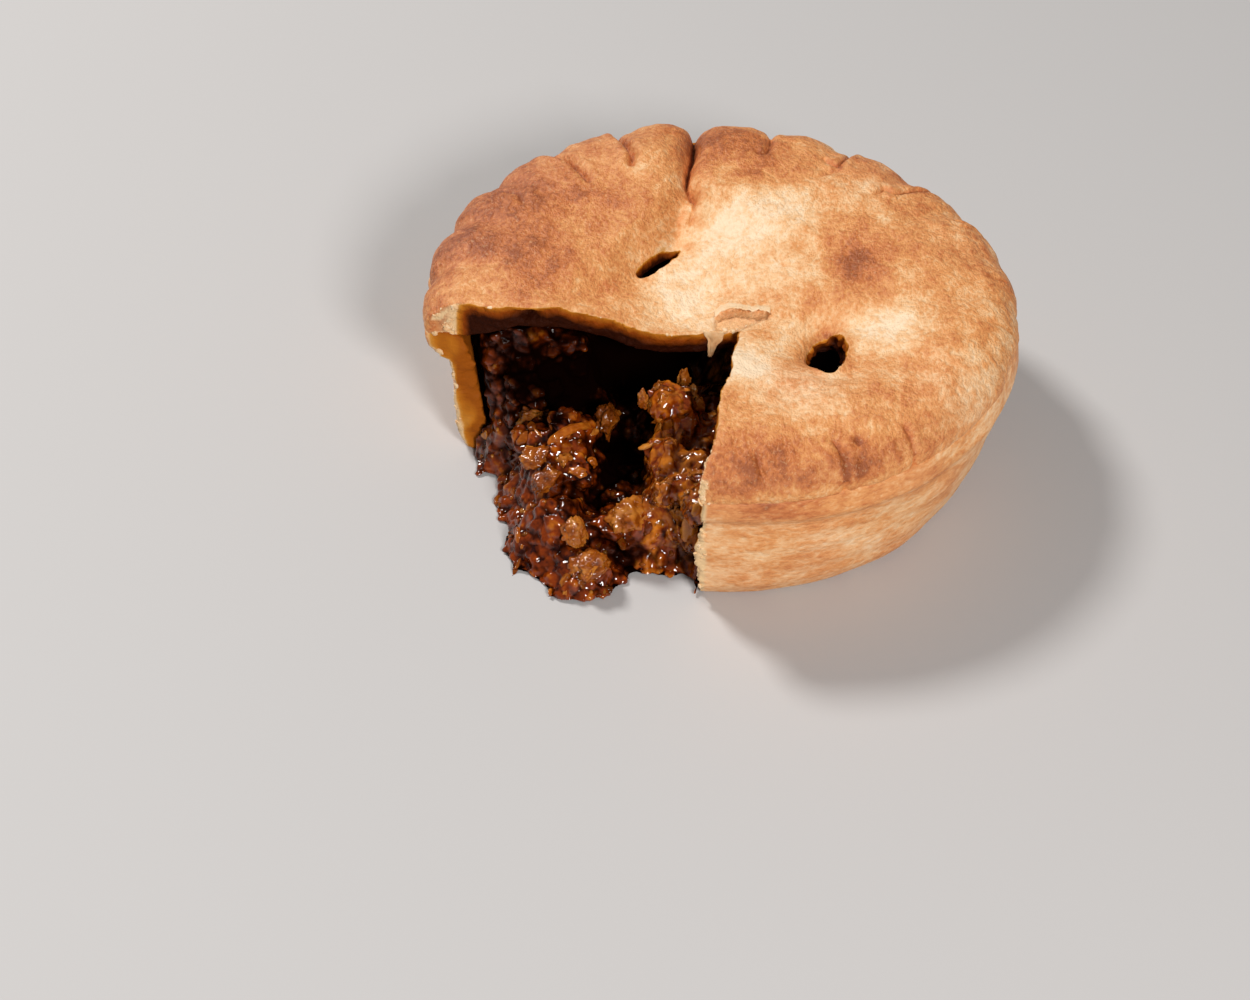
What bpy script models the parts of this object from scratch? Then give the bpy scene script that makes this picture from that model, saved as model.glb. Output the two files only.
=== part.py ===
"""A round steak and cheese pie with a wedge cut out of it.

Three pieces, each one solid:
  pastry_case    the bottom crust: a thin floor, a wall that leans out, and a thick pressed flange
  pastry_lid     the top crust: a puffed rim pinched into lobes, a sagging middle, two steam vents
  steak_filling  chunks of steak in gravy, hollowed out under the lid and slumped into the cut

The pie stands on Z = 0 with its rim's axis on Z. The missing wedge opens towards -X and -Y.
Run with: blender --background --python part.py
"""

import math
import random

import bmesh
import bpy
from mathutils import Matrix, Vector, noise

# Driving dimensions, in metres
RIM_RADIUS = 0.0550
WALL_TOP_RADIUS = 0.0520
BASE_RADIUS = 0.0480
FLANGE_BOTTOM = 0.0205
FLANGE_TOP = 0.0262
LID_CREST = 0.0350
LID_THICKNESS = 0.0045
FLOOR_THICKNESS = 0.0036
WALL_THICKNESS = 0.0040
GAP = 0.0003

# The case leans under its flange, which stands out furthest on the left: the middle of its foot,
# and of its wall just below the flange
FOOT_CENTRE = Vector((-0.0003, -0.0014, 0.0))
WALL_TOP_CENTRE = Vector((0.0020, -0.0010, 0.0))

# The missing wedge: where its two cuts meet, how far the second cut swings past -Y, and how far
# the first one bows out in its middle
CUT_APEX = Vector((0.0032, -0.0110))
CUT_SWING = math.radians(8.5)
CUT_BOW = 0.0020
CUT_BOW_CENTRE = -0.0140
CUT_BOW_WIDTH = 0.0120
CUT_RAGGEDNESS = 0.0011
CUT_SEED = 4.0
TEAR_SCALE = 0.0060
TEAR_CELL = 0.0025

# The pinched rim: lobes with a cusp between each two, deepest at the back left, faint in front
CRIMPS = 22
FIRST_CUSP = math.radians(96.0)
DEEPEST_CUSP = math.radians(125.0)
CUSP_DEPTH = 0.0014
CREASE_DEPTH = 0.0013

# The lid's broad form: its middle sags, it droops where the wedge left, and one side of the rim is low
CENTRE_SAG = 0.0040
CENTRE_SAG_RADIUS = 0.021
DROOP_CENTRE = Vector((-0.0110, -0.0110))
DROOP = 0.0024
DROOP_RADIUS = 0.0130
LOW_RIM_ANGLE = math.radians(48.0)
LOW_RIM_DROP = 0.0013

# Each vent sits in a funnel: centre, half length, half width, turn, depth of the funnel
VENT_ROUND = (Vector((0.0190, -0.0180)), 0.0045, 0.0041, math.radians(20.0), 0.0036)
VENT_SLIT = (Vector((-0.0118, 0.0090)), 0.0060, 0.0015, math.radians(50.0), 0.0040)
FUNNEL_SPREAD = 0.0055

# A deep fold runs in from a cusp at the back to the slit vent, with the crust puffed up on its left
FOLD_BEND = math.radians(6.0)
FOLD_HOOK = math.radians(26.0)
FOLD_DEPTH = 0.0036
FOLD_WIDTH = 0.0024
FOLD_PUFF = 0.0014
FOLD_PUFF_OFFSET = 0.0080

# How many steps each turned piece has, so that four steps make one lobe of the rim
TURN_STEPS = CRIMPS * 4

# The filling: the room that it leaves to the lid, and how far apart and how big its chunks are
LID_CLEARANCE = 0.0018
CHUNK_SPACING = 0.0090
CHUNK_HALF_SIZES = (0.0032, 0.0062)
CHUNK_REACH = 0.0500
# Where no chunks stand: round a gully in the slumped filling and under its front (x, y, radius), and on
# the first cut's face to the right of this
BARE_PLACES = ((-0.0170, -0.0235, 0.0070), (-0.0100, -0.0455, 0.0062))
HOLLOW_LEFT = -0.0270
CHUNK_SEED = 13

# Mounds of filling in and round the cut: x, y, half width in x, half width in y, height
MOUNDS = (
    (-0.0275, -0.0235, 0.0110, 0.0100, 0.0165),
    (-0.0280, -0.0370, 0.0095, 0.0095, 0.0115),
    (-0.0235, -0.0460, 0.0070, 0.0060, 0.0075),
    (-0.0065, -0.0230, 0.0080, 0.0106, 0.0250),
    (-0.0075, -0.0335, 0.0084, 0.0092, 0.0190),
    (-0.0140, -0.0375, 0.0060, 0.0052, 0.0110),
    (-0.0370, -0.0125, 0.0070, 0.0055, 0.0185),
)
# A thin layer between the mounds: x, y, half width in x, half width in y, height
LAYER = (-0.0215, -0.0240, 0.0180, 0.0200, 0.0066)
# The hollow that it left under the lid: x, y, half width in x, half width in y, height of its floor
HOLLOW = (-0.0110, -0.0060, 0.0150, 0.0110, 0.0085)

CRUST_COLOUR = (0.62, 0.32, 0.12, 1.0)
CASE_COLOUR = (0.72, 0.44, 0.20, 1.0)
FILLING_COLOUR = (0.12, 0.035, 0.008, 1.0)


def smoothstep(low, high, value):
    t = min(1.0, max(0.0, (value - low) / (high - low)))
    return t * t * (3.0 - 2.0 * t)


def bell(distance, width):
    return math.exp(-((distance / width) ** 2))


def angle_between(first, second):
    """The signed turn from the second angle to the first, within half a turn."""
    return math.remainder(first - second, math.tau)


# ---------------------------------------------------------------- the form of the lid

LID_RIM_HEIGHT = FLANGE_TOP + 0.0022
LID_SHOULDER = 0.80 * RIM_RADIUS
LID_SEAT_RADIUS = WALL_TOP_RADIUS - WALL_THICKNESS + 0.0004


def cusp_sharpness(angle):
    """0 in the middle of a lobe and 1 at a cusp, scaled by how hard the rim is pinched there."""
    lobe = abs(math.sin(CRIMPS * (angle - FIRST_CUSP) / 2.0))
    pinch = 0.52 + 0.48 * math.cos(angle - DEEPEST_CUSP)
    wander = 0.20 * noise.noise(Vector((3.0 * math.cos(angle), 3.0 * math.sin(angle), 7.0)))
    return (1.0 - lobe) ** 1.5 * max(0.0, pinch + wander)


def fold_angle(radius):
    """The fold starts on the first cusp, bends left on its way in, and hooks into the slit vent."""
    bend = FOLD_BEND * (1.0 - smoothstep(0.030, 0.052, radius))
    hook = FOLD_HOOK * (1.0 - smoothstep(0.013, 0.030, radius))
    return FIRST_CUSP + bend + hook


def fold_relief(x, y):
    """The fold's valley, and the puffed crust on its left."""
    radius = math.hypot(x, y)
    sideways = radius * angle_between(math.atan2(y, x), fold_angle(radius))
    reach = smoothstep(0.013, 0.024, radius)
    inside_rim = 1.0 - smoothstep(0.80 * RIM_RADIUS, RIM_RADIUS, radius)
    valley = (0.45 + 0.55 * inside_rim) * FOLD_DEPTH * bell(sideways, FOLD_WIDTH)
    puff = inside_rim * FOLD_PUFF * bell(sideways - FOLD_PUFF_OFFSET, FOLD_PUFF_OFFSET)
    return reach * (puff - valley)


def vent_distance(x, y, vent):
    """Distance from a vent's centre in units of its own oval: 1 is its edge."""
    centre, half_length, half_width, turn, _ = vent
    offset = Vector((x, y)) - centre
    along = offset.x * math.cos(turn) + offset.y * math.sin(turn)
    across = -offset.x * math.sin(turn) + offset.y * math.cos(turn)
    return math.hypot(along / half_length, across / half_width)


def broad_relief(x, y):
    """How far the lid as a whole is lifted or sunk at a point: top and underside share it."""
    radius = math.hypot(x, y)
    height = -CENTRE_SAG * bell(radius, CENTRE_SAG_RADIUS)
    height -= DROOP * bell((Vector((x, y)) - DROOP_CENTRE).length, DROOP_RADIUS)
    for vent in (VENT_ROUND, VENT_SLIT):
        _, half_length, half_width, _, depth = vent
        spread = 1.0 + FUNNEL_SPREAD / (0.5 * (half_length + half_width))
        height -= depth * bell(vent_distance(x, y, vent), spread)
    inside_rim = 1.0 - smoothstep(0.80 * RIM_RADIUS, RIM_RADIUS, radius)
    return height + 0.0011 * inside_rim * noise.noise(Vector((x, y, 0.0)) / 0.017)


def top_relief(x, y):
    """What shows on top only: the rim's low side, the creases between its lobes, and the fold."""
    radius = math.hypot(x, y)
    angle = math.atan2(y, x)
    low_side = bell(angle_between(angle, LOW_RIM_ANGLE), math.radians(35.0))
    height = -LOW_RIM_DROP * low_side * smoothstep(0.60 * RIM_RADIUS, 0.90 * RIM_RADIUS, radius)
    on_rim = smoothstep(0.72 * RIM_RADIUS, 0.88 * RIM_RADIUS, radius)
    height -= CREASE_DEPTH * on_rim * cusp_sharpness(angle)
    return height + fold_relief(x, y)


def lid_dome(radius):
    """The lid's free part before relief: a low dome that is highest halfway out."""
    return LID_CREST + 0.0010 * math.sin(math.pi * min(1.0, radius / LID_SHOULDER))


def lid_top_profile(radius):
    """The dome, then a quarter ellipse from the shoulder down to the rim."""
    if radius <= LID_SHOULDER:
        return lid_dome(radius)
    over = (radius - LID_SHOULDER) / (RIM_RADIUS - LID_SHOULDER)
    return LID_RIM_HEIGHT + (LID_CREST - LID_RIM_HEIGHT) * math.sqrt(max(0.0, 1.0 - over * over))


def lid_underside_profile(radius):
    """Parallel to the dome, then flat where the lid sits on the case."""
    seat = smoothstep(0.78 * LID_SEAT_RADIUS, LID_SEAT_RADIUS, radius)
    free = lid_dome(radius) - LID_THICKNESS
    return free + seat * (FLANGE_TOP + GAP - free)


def lid_underside(x, y):
    radius = math.hypot(x, y)
    free = 1.0 - smoothstep(0.80 * LID_SEAT_RADIUS, LID_SEAT_RADIUS, radius)
    return lid_underside_profile(radius) + free * broad_relief(x, y)


# ---------------------------------------------------------------- making solids


def collection(name):
    made = bpy.data.collections.new(name)
    bpy.context.scene.collection.children.link(made)
    return made


def add_object(name, mesh, into):
    made = bpy.data.objects.new(name, mesh)
    into.objects.link(made)
    return made


def object_from(shape, name, into):
    """Makes an object of a finished bmesh."""
    mesh = bpy.data.meshes.new(name)
    shape.to_mesh(mesh)
    shape.free()
    return add_object(name, mesh, into)


def material(name, colour, roughness):
    made = bpy.data.materials.new(name)
    made.use_nodes = True
    shader = made.node_tree.nodes["Principled BSDF"]
    shader.inputs["Base Color"].default_value = colour
    shader.inputs["Roughness"].default_value = roughness
    shader.inputs["Metallic"].default_value = 0.0
    return made


def finish_mesh(obj):
    """Makes the modifiers' result the object's own mesh, so that it can be shaped further."""
    graph = bpy.context.evaluated_depsgraph_get()
    mesh = bpy.data.meshes.new_from_object(obj.evaluated_get(graph))
    obj.modifiers.clear()
    obj.data = mesh


def turned(name, profile, into, steps=TURN_STEPS):
    """Turns (radius, height) points about Z. They run from the axis over the top to the axis below."""
    mesh = bpy.data.meshes.new(name)
    points = [(radius, 0.0, height) for radius, height in profile]
    mesh.from_pydata(points, [(i, i + 1) for i in range(len(points) - 1)], [])
    obj = add_object(name, mesh, into)
    screw = obj.modifiers.new("Turn", "SCREW")
    screw.steps = steps
    screw.render_steps = steps
    screw.use_merge_vertices = True
    screw.merge_threshold = 0.00001
    finish_mesh(obj)
    # The steps start on a cusp, so that each cusp has a line of points on it.
    obj.data.transform(Matrix.Rotation(FIRST_CUSP, 4, "Z"))
    return obj


def boolean(obj, operation, other=None, group=None, solver="EXACT"):
    change = obj.modifiers.new(operation.title(), "BOOLEAN")
    change.operation = operation
    change.solver = solver
    if group:
        change.operand_type = "COLLECTION"
        change.collection = group
    else:
        change.object = other
    finish_mesh(obj)


def cutter(obj):
    obj.hide_render = True
    obj.display_type = "WIRE"
    return obj


def smooth_shading(obj, sharp_above):
    obj.data.shade_smooth()
    obj.data.set_sharp_from_angle(angle=math.radians(sharp_above))


def upright(edge):
    return abs(edge.verts[0].co.z - edge.verts[1].co.z) > TEAR_CELL


def torn_wedge(name, inset, low, high, reach, into):
    """The block of space that the wedge left: a cube with its corner on the apex and two torn sides.

    inset moves both torn sides into the wedge by that much. The tear itself stays the same.
    """
    shape = bmesh.new()
    bmesh.ops.create_cube(shape, size=1.0)
    bmesh.ops.translate(shape, verts=shape.verts, vec=(-0.5, -0.5, 0.5))
    bmesh.ops.scale(shape, verts=shape.verts, vec=(reach, reach, high - low))
    level_edges = [edge for edge in shape.edges if not upright(edge)]
    bmesh.ops.subdivide_edges(shape, edges=level_edges, cuts=int(reach / TEAR_CELL), use_grid_fill=True)
    upright_edges = [edge for edge in shape.edges if upright(edge)]
    cuts_up = int((high - low) / TEAR_CELL)
    bmesh.ops.subdivide_edges(shape, edges=upright_edges, cuts=cuts_up, use_grid_fill=True)
    for vertex in shape.verts:
        torn = max(vertex.co.x, vertex.co.y) > -0.5 * TEAR_CELL
        # The second cut swings outwards as it leaves the apex, and the first one bows.
        swing = math.tan(CUT_SWING) * vertex.co.y
        bow = CUT_BOW * bell(vertex.co.x + CUT_APEX.x - CUT_BOW_CENTRE, CUT_BOW_WIDTH)
        place = vertex.co + Vector((swing, -bow, low))
        if torn:
            seed = place + Vector((0.0, 0.0, CUT_SEED))
            tear = noise.noise_vector(seed / TEAR_SCALE) + noise.noise_vector(seed / (3.0 * TEAR_SCALE))
            place += CUT_RAGGEDNESS * Vector((tear.x, tear.y, 0.0))
        vertex.co = place + Vector((CUT_APEX.x - inset, CUT_APEX.y - inset, 0.0))
    # What is flat needs no grid.
    bmesh.ops.dissolve_limit(shape, angle_limit=math.radians(0.5), verts=shape.verts, edges=shape.edges)
    bmesh.ops.triangulate(shape, faces=shape.faces)
    return cutter(object_from(shape, name, into))


# ---------------------------------------------------------------- the case


def wall_radius(height):
    """The outside of the wall: a straight taper that bellies out a little."""
    share = height / FLANGE_BOTTOM
    return BASE_RADIUS + (WALL_TOP_RADIUS - BASE_RADIUS) * share + 0.0004 * math.sin(math.pi * share)


def case_profile():
    """The case's section: up the inside, over the flange, down the outside and under the floor."""
    inner_base = BASE_RADIUS - WALL_THICKNESS
    inner_top = WALL_TOP_RADIUS - WALL_THICKNESS
    inside = [(0.0, FLOOR_THICKNESS), (inner_base - 0.0016, FLOOR_THICKNESS)]
    inside += [(inner_base, FLOOR_THICKNESS + 0.0024), (inner_top, FLANGE_BOTTOM)]
    inside += [(inner_top + 0.0002, FLANGE_TOP)]
    flange = [(RIM_RADIUS - 0.0006, FLANGE_TOP), (RIM_RADIUS, FLANGE_TOP - 0.0010)]
    flange += [(RIM_RADIUS - 0.0003, FLANGE_TOP - 0.0026), (RIM_RADIUS - 0.0012, FLANGE_TOP - 0.0040)]
    wall = [(wall_radius(share * FLANGE_BOTTOM), share * FLANGE_BOTTOM) for share in (1.0, 0.75, 0.45, 0.18)]
    foot = [(BASE_RADIUS - 0.0004, 0.0010), (BASE_RADIUS - 0.0020, 0.0), (0.0, 0.0)]
    return inside + flange + wall + foot


def off_centre(co):
    """How far a point of the case moves sideways, which leaves the flange's top where it is."""
    lean = FOOT_CENTRE.lerp(WALL_TOP_CENTRE, min(1.0, max(0.0, co.z / FLANGE_BOTTOM)))
    return lean * (1.0 - smoothstep(FLANGE_BOTTOM, FLANGE_TOP - 0.0010, co.z))


def make_case(parts, cutters):
    case = turned("pastry_case", case_profile(), parts)
    for vertex in case.data.vertices:
        x, y, z = vertex.co
        radius = math.hypot(x, y)
        outside = radius > wall_radius(min(z, FLANGE_BOTTOM)) - 0.5 * WALL_THICKNESS
        if outside:
            # The wall is hand pressed: it wanders in and out, and the flange follows the crimps.
            wander = 0.0006 * noise.noise(Vector((x, y, 2.0 * z)) / 0.016) * smoothstep(0.0, 0.004, z)
            at_flange = smoothstep(FLANGE_BOTTOM, FLANGE_TOP - 0.0020, z)
            pinched = 0.55 * CUSP_DEPTH * cusp_sharpness(math.atan2(y, x)) * at_flange
            scale = (radius + wander - pinched) / radius
            vertex.co.x = x * scale
            vertex.co.y = y * scale
        vertex.co += off_centre(vertex.co)
    boolean(case, "DIFFERENCE", torn_wedge("case_cut", 0.0, -0.005, 0.045, 0.062, cutters))
    smooth_shading(case, 40.0)
    case.data.materials.append(material("case_pastry", CASE_COLOUR, 0.6))
    return case


# ---------------------------------------------------------------- the lid


def lid_profile():
    """The lid's section: out over the top, round the rim, and back along the underside."""
    dome = [LID_SHOULDER * step / 8.0 for step in range(9)]
    shoulder = [math.sin(math.radians(degrees)) for degrees in (24, 45, 63, 78)]
    edge = [LID_SHOULDER + (RIM_RADIUS - LID_SHOULDER) * share for share in shoulder]
    top = [(radius, lid_top_profile(radius)) for radius in dome + edge]
    rim = [(RIM_RADIUS, LID_RIM_HEIGHT), (RIM_RADIUS, FLANGE_TOP + 0.0010)]
    rim += [(RIM_RADIUS - 0.0006, FLANGE_TOP + GAP)]
    seat_to_axis = [LID_SEAT_RADIUS * step for step in (1.0, 0.9, 0.8, 0.6, 0.4, 0.2, 0.0)]
    under = [(radius, lid_underside_profile(radius)) for radius in seat_to_axis]
    return top + rim + under


def bend_to_fold(co):
    """Turns a point about the axis so that the first cusp's line of points lies in the fold."""
    radius = math.hypot(co.x, co.y)
    off_cusp = angle_between(math.atan2(co.y, co.x), FIRST_CUSP)
    turn = (fold_angle(radius) - FIRST_CUSP) * bell(off_cusp, math.radians(30.0))
    co.rotate(Matrix.Rotation(turn * smoothstep(0.005, 0.013, radius), 3, "Z"))


def vent_cutter(name, vent, into):
    """An oval plug through the lid, a little wider at the top."""
    centre, half_length, half_width, turn, _ = vent
    shape = bmesh.new()
    bmesh.ops.create_cone(shape, cap_ends=True, segments=14, radius1=0.85, radius2=1.15, depth=0.030)
    bmesh.ops.scale(shape, verts=shape.verts, vec=(half_length, half_width, 1.0))
    bmesh.ops.rotate(shape, verts=shape.verts, matrix=Matrix.Rotation(turn, 3, "Z"))
    bmesh.ops.translate(shape, verts=shape.verts, vec=(centre.x, centre.y, LID_CREST - LID_THICKNESS))
    return cutter(object_from(shape, name, into))


def make_lid(parts, cutters):
    lid = turned("pastry_lid", lid_profile(), parts)
    for vertex in lid.data.vertices:
        radius = math.hypot(vertex.co.x, vertex.co.y)
        half_way = lid_underside_profile(radius) + 0.4 * LID_THICKNESS
        underneath = vertex.co.z < half_way and radius < LID_SEAT_RADIUS + 0.001
        bend_to_fold(vertex.co)
        x, y, z = vertex.co
        if underneath:
            vertex.co.z = lid_underside(x, y)
            continue
        outwards = smoothstep(LID_SEAT_RADIUS, RIM_RADIUS, radius)
        above_seat = smoothstep(FLANGE_TOP + GAP, FLANGE_TOP + 0.0030, z)
        pinched = outwards * CUSP_DEPTH * cusp_sharpness(math.atan2(y, x))
        scale = 1.0 - pinched / max(radius, 0.001)
        lift = broad_relief(x, y) + top_relief(x, y)
        vertex.co = (x * scale, y * scale, z + above_seat * lift)
    for name, vent in (("round_vent", VENT_ROUND), ("slit_vent", VENT_SLIT)):
        boolean(lid, "DIFFERENCE", vent_cutter(name, vent, cutters))
    boolean(lid, "DIFFERENCE", torn_wedge("lid_cut", 0.0, 0.0, 0.045, 0.062, cutters))
    smooth_shading(lid, 50.0)
    lid.data.materials.append(material("lid_pastry", CRUST_COLOUR, 0.55))
    return lid


# ---------------------------------------------------------------- the filling


def heap(x, y, form, low, high):
    """A round-shouldered heap: flat inside low and gone outside high, in units of its half widths."""
    centre_x, centre_y, half_x, half_y, height = form
    out = math.hypot((x - centre_x) / half_x, (y - centre_y) / half_y)
    return height * (1.0 - smoothstep(low, high, out))


def in_wedge(x, y):
    """How far a point is inside the missing wedge, or outside it where negative."""
    second_cut = CUT_APEX.x + math.tan(CUT_SWING) * (y - CUT_APEX.y)
    return min(CUT_APEX.y - y, second_cut - x)


def filling_top(x, y):
    """The height of the filling's bare surface, before the chunks."""
    slumped = max(heap(x, y, mound, 0.25, 1.35) for mound in MOUNDS)
    slumped = max(slumped, heap(x, y, LAYER, 0.70, 1.15)) - 0.0010
    centre_x, centre_y, half_x, half_y, floor = HOLLOW
    out = math.hypot((x - centre_x) / half_x, (y - centre_y) / half_y)
    sunk = floor + 0.0140 * smoothstep(0.45, 1.0, out) + 0.0100 * smoothstep(1.0, 1.7, out)
    inside_case = 1.0 - smoothstep(0.86 * WALL_TOP_RADIUS, 0.93 * WALL_TOP_RADIUS, math.hypot(x, y))
    standing = min(lid_underside(x, y) + LID_CLEARANCE, sunk) * inside_case
    cut_away = smoothstep(-0.0035, 0.0020, in_wedge(x, y))
    lumps = 0.0012 * noise.noise(Vector((x, y, 3.0)) / 0.006)
    return standing + cut_away * (slumped - standing) + lumps


def filling_room(name, inset, into, cutters):
    """The room that the filling may take: inside the case, under the lid, and in the cut.

    inset draws its limits in a little further, so that no two limits share a surface.
    """
    wall_gap = WALL_THICKNESS + GAP + 0.0002 + inset
    floor = FLOOR_THICKNESS + GAP + inset
    inner_base = BASE_RADIUS - wall_gap
    inner_top = WALL_TOP_RADIUS - wall_gap
    shares = (0.0, 0.19, 0.38, 0.56, 0.72, 0.85, 0.94, 1.0)
    profile = [(inner_top * share, lid_underside_profile(inner_top * share)) for share in shares]
    profile += [(inner_top, FLANGE_BOTTOM), (inner_base, floor + 0.0027), (inner_base - 0.0020, floor)]
    profile += [(0.0, floor)]
    room = turned(name, profile, into, steps=TURN_STEPS // 2)
    for vertex in room.data.vertices:
        if vertex.co.z > FLANGE_BOTTOM + 0.0002:
            vertex.co.z = lid_underside(vertex.co.x, vertex.co.y) - LID_CLEARANCE - inset
        vertex.co += off_centre(vertex.co)
    wedge = torn_wedge(name + "_wedge", 0.0007 + inset, inset, 0.0200 - inset, 0.0470, cutters)
    boolean(room, "UNION", wedge, solver="MANIFOLD")
    return room


def air_above_filling(into):
    """Everything above the filling's bare surface round the cut: a grid lifted into a block."""
    shape = bmesh.new()
    bmesh.ops.create_grid(shape, x_segments=22, y_segments=22, size=0.0375)
    bmesh.ops.translate(shape, verts=shape.verts, vec=(-0.0210, -0.0225, 0.0))
    for vertex in shape.verts:
        vertex.co.z = filling_top(vertex.co.x, vertex.co.y)
    lifted = bmesh.ops.extrude_face_region(shape, geom=shape.faces[:])
    for part in lifted["geom"]:
        if isinstance(part, bmesh.types.BMVert):
            part.co.z = 0.060
    bmesh.ops.recalc_face_normals(shape, faces=shape.faces)
    return cutter(object_from(shape, "air_above_filling", into))


def chunk_places(draw):
    """Centres for the chunks: over the bare surface that shows, and up the two steep cut faces."""
    places = []
    rows = int(0.054 / CHUNK_SPACING)
    for row in range(rows):
        for column in range(rows):
            x = -0.0490 + (column + 0.5 + draw.uniform(-0.3, 0.3)) * CHUNK_SPACING
            y = -0.0530 + (row + 0.5 + draw.uniform(-0.3, 0.3)) * CHUNK_SPACING
            height = filling_top(x, y)
            bare = any(math.hypot(x - at_x, y - at_y) < radius for at_x, at_y, radius in BARE_PLACES)
            if height > 0.0035 and in_wedge(x, y) > -0.007 and not bare:
                places.append(Vector((x, y, height - 0.0008)))
    for level in (0.0080, 0.0165):
        for step in range(4):
            along = 0.0080 + step * CHUNK_SPACING
            wobble = draw.uniform(-0.0010, 0.0010)
            second_cut = CUT_APEX.x - math.tan(CUT_SWING) * along
            places.append(Vector((second_cut - 0.0015 + wobble, CUT_APEX.y - along + 0.004, level)))
            left = CUT_APEX.x - 0.0090 - along
            if level < 0.0100 or left < HOLLOW_LEFT:
                places.append(Vector((left, CUT_APEX.y + 0.0030 + wobble, level - 0.002)))
    return [place for place in places if place.xy.length < CHUNK_REACH]


def make_chunk(place, draw, into):
    """One chunk of steak: an uneven rounded lump with few sides."""
    shape = bmesh.new()
    bmesh.ops.create_icosphere(shape, subdivisions=2, radius=1.0)
    seed = Vector((draw.uniform(0, 50), draw.uniform(0, 50), draw.uniform(0, 50)))
    for vertex in shape.verts:
        vertex.co *= 1.0 + 0.35 * noise.noise(vertex.co * 1.3 + seed)
    low, high = CHUNK_HALF_SIZES
    sizes = (draw.uniform(0.75 * high, high), draw.uniform(low, high), draw.uniform(low, 0.7 * high))
    bmesh.ops.scale(shape, verts=shape.verts, vec=sizes)
    turn = Matrix.Rotation(draw.uniform(0, math.tau), 3, "Z")
    tip = Matrix.Rotation(draw.uniform(-0.7, 0.7), 3, "X")
    bmesh.ops.rotate(shape, verts=shape.verts, matrix=turn @ tip)
    bmesh.ops.translate(shape, verts=shape.verts, vec=place)
    return cutter(object_from(shape, "chunk", into))


def make_filling(parts, cutters):
    filling = filling_room("steak_filling", 0.0002, parts, cutters)
    limits = cutter(filling_room("filling_limits", 0.0, cutters, cutters))
    boolean(filling, "DIFFERENCE", air_above_filling(cutters), solver="MANIFOLD")
    draw = random.Random(CHUNK_SEED)
    chunks = collection("chunks")
    for place in chunk_places(draw):
        make_chunk(place, draw, chunks)
    boolean(filling, "UNION", group=chunks, solver="MANIFOLD")
    for each in list(chunks.objects):
        bpy.data.objects.remove(each)
    bpy.data.collections.remove(chunks)
    boolean(filling, "INTERSECT", limits, solver="MANIFOLD")
    keep_largest_body(filling)
    smooth_shading(filling, 50.0)
    filling.data.materials.clear()
    filling.data.materials.append(material("steak_in_gravy", FILLING_COLOUR, 0.3))
    return filling


def joined_points(start, seen):
    """All the points that edges join to this one."""
    body, waiting = [], [start]
    seen.add(start)
    while waiting:
        current = waiting.pop()
        body.append(current)
        for edge in current.link_edges:
            other = edge.other_vert(current)
            if other not in seen:
                seen.add(other)
                waiting.append(other)
    return body


def keep_largest_body(obj):
    """Drops the loose scraps that cutting left."""
    shape = bmesh.new()
    shape.from_mesh(obj.data)
    seen = set()
    bodies = [joined_points(vertex, seen) for vertex in shape.verts if vertex not in seen]
    bodies.sort(key=len, reverse=True)
    for body in bodies[1:]:
        bmesh.ops.delete(shape, geom=body, context="VERTS")
    shape.to_mesh(obj.data)
    shape.free()


def main():
    for obj in list(bpy.data.objects):
        bpy.data.objects.remove(obj)
    parts = collection("steak_and_cheese_pie")
    cutters = collection("cutters")
    make_case(parts, cutters)
    make_lid(parts, cutters)
    make_filling(parts, cutters)


main()
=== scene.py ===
"""The looks of a round steak and cheese pie with a wedge cut out of it.

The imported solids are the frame. The case, the lid and the filling are each replaced by a finer skin
grown over a copy of the solid. Small pieces are added on top: two flakes, crumbs, chunks and shreds of
steak, grains in the gravy, and melted cheese. Lengths are in metres, but for the tables that say they
are in millimetres. The wedge opens towards -X and -Y.
"""

import math

import bpy
import numpy as np
from mathutils import Matrix, Vector, noise
from mathutils.bvhtree import BVHTree


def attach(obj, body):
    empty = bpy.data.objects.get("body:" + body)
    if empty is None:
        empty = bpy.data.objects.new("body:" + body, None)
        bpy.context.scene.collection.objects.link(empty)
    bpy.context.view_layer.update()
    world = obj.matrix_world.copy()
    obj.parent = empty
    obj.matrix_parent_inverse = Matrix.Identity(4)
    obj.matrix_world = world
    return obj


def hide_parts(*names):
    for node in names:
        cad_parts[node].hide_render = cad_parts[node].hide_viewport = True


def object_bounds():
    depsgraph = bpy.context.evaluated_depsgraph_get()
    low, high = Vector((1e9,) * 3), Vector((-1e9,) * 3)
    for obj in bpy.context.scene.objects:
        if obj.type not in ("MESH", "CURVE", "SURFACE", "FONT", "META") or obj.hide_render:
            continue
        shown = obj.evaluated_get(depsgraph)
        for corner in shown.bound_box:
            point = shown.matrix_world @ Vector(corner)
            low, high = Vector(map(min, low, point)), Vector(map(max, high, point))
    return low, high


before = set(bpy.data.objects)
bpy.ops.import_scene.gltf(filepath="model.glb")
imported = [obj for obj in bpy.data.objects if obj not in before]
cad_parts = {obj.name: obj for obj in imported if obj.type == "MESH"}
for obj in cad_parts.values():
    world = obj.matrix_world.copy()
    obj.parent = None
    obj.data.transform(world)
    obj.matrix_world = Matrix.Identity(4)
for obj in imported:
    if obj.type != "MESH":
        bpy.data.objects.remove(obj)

CAD_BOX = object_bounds()
MM = 0.001
TINY = 1e-6

# The pie's own sizes, as its solids have them: the rim, and the seam between lid and case
RIM_RADIUS = 0.0550
SEAM_HEIGHT = 0.0263
# The cut: its apex, the swing of its second edge, and how deep, where and how widely the first one bows
CUT_APEX = (0.0032, -0.0110)
CUT_SWING = math.radians(8.5)
CUT_BOW = 0.0020
CUT_BOW_CENTRE = -0.0140
CUT_BOW_WIDTH = 0.0120
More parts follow.
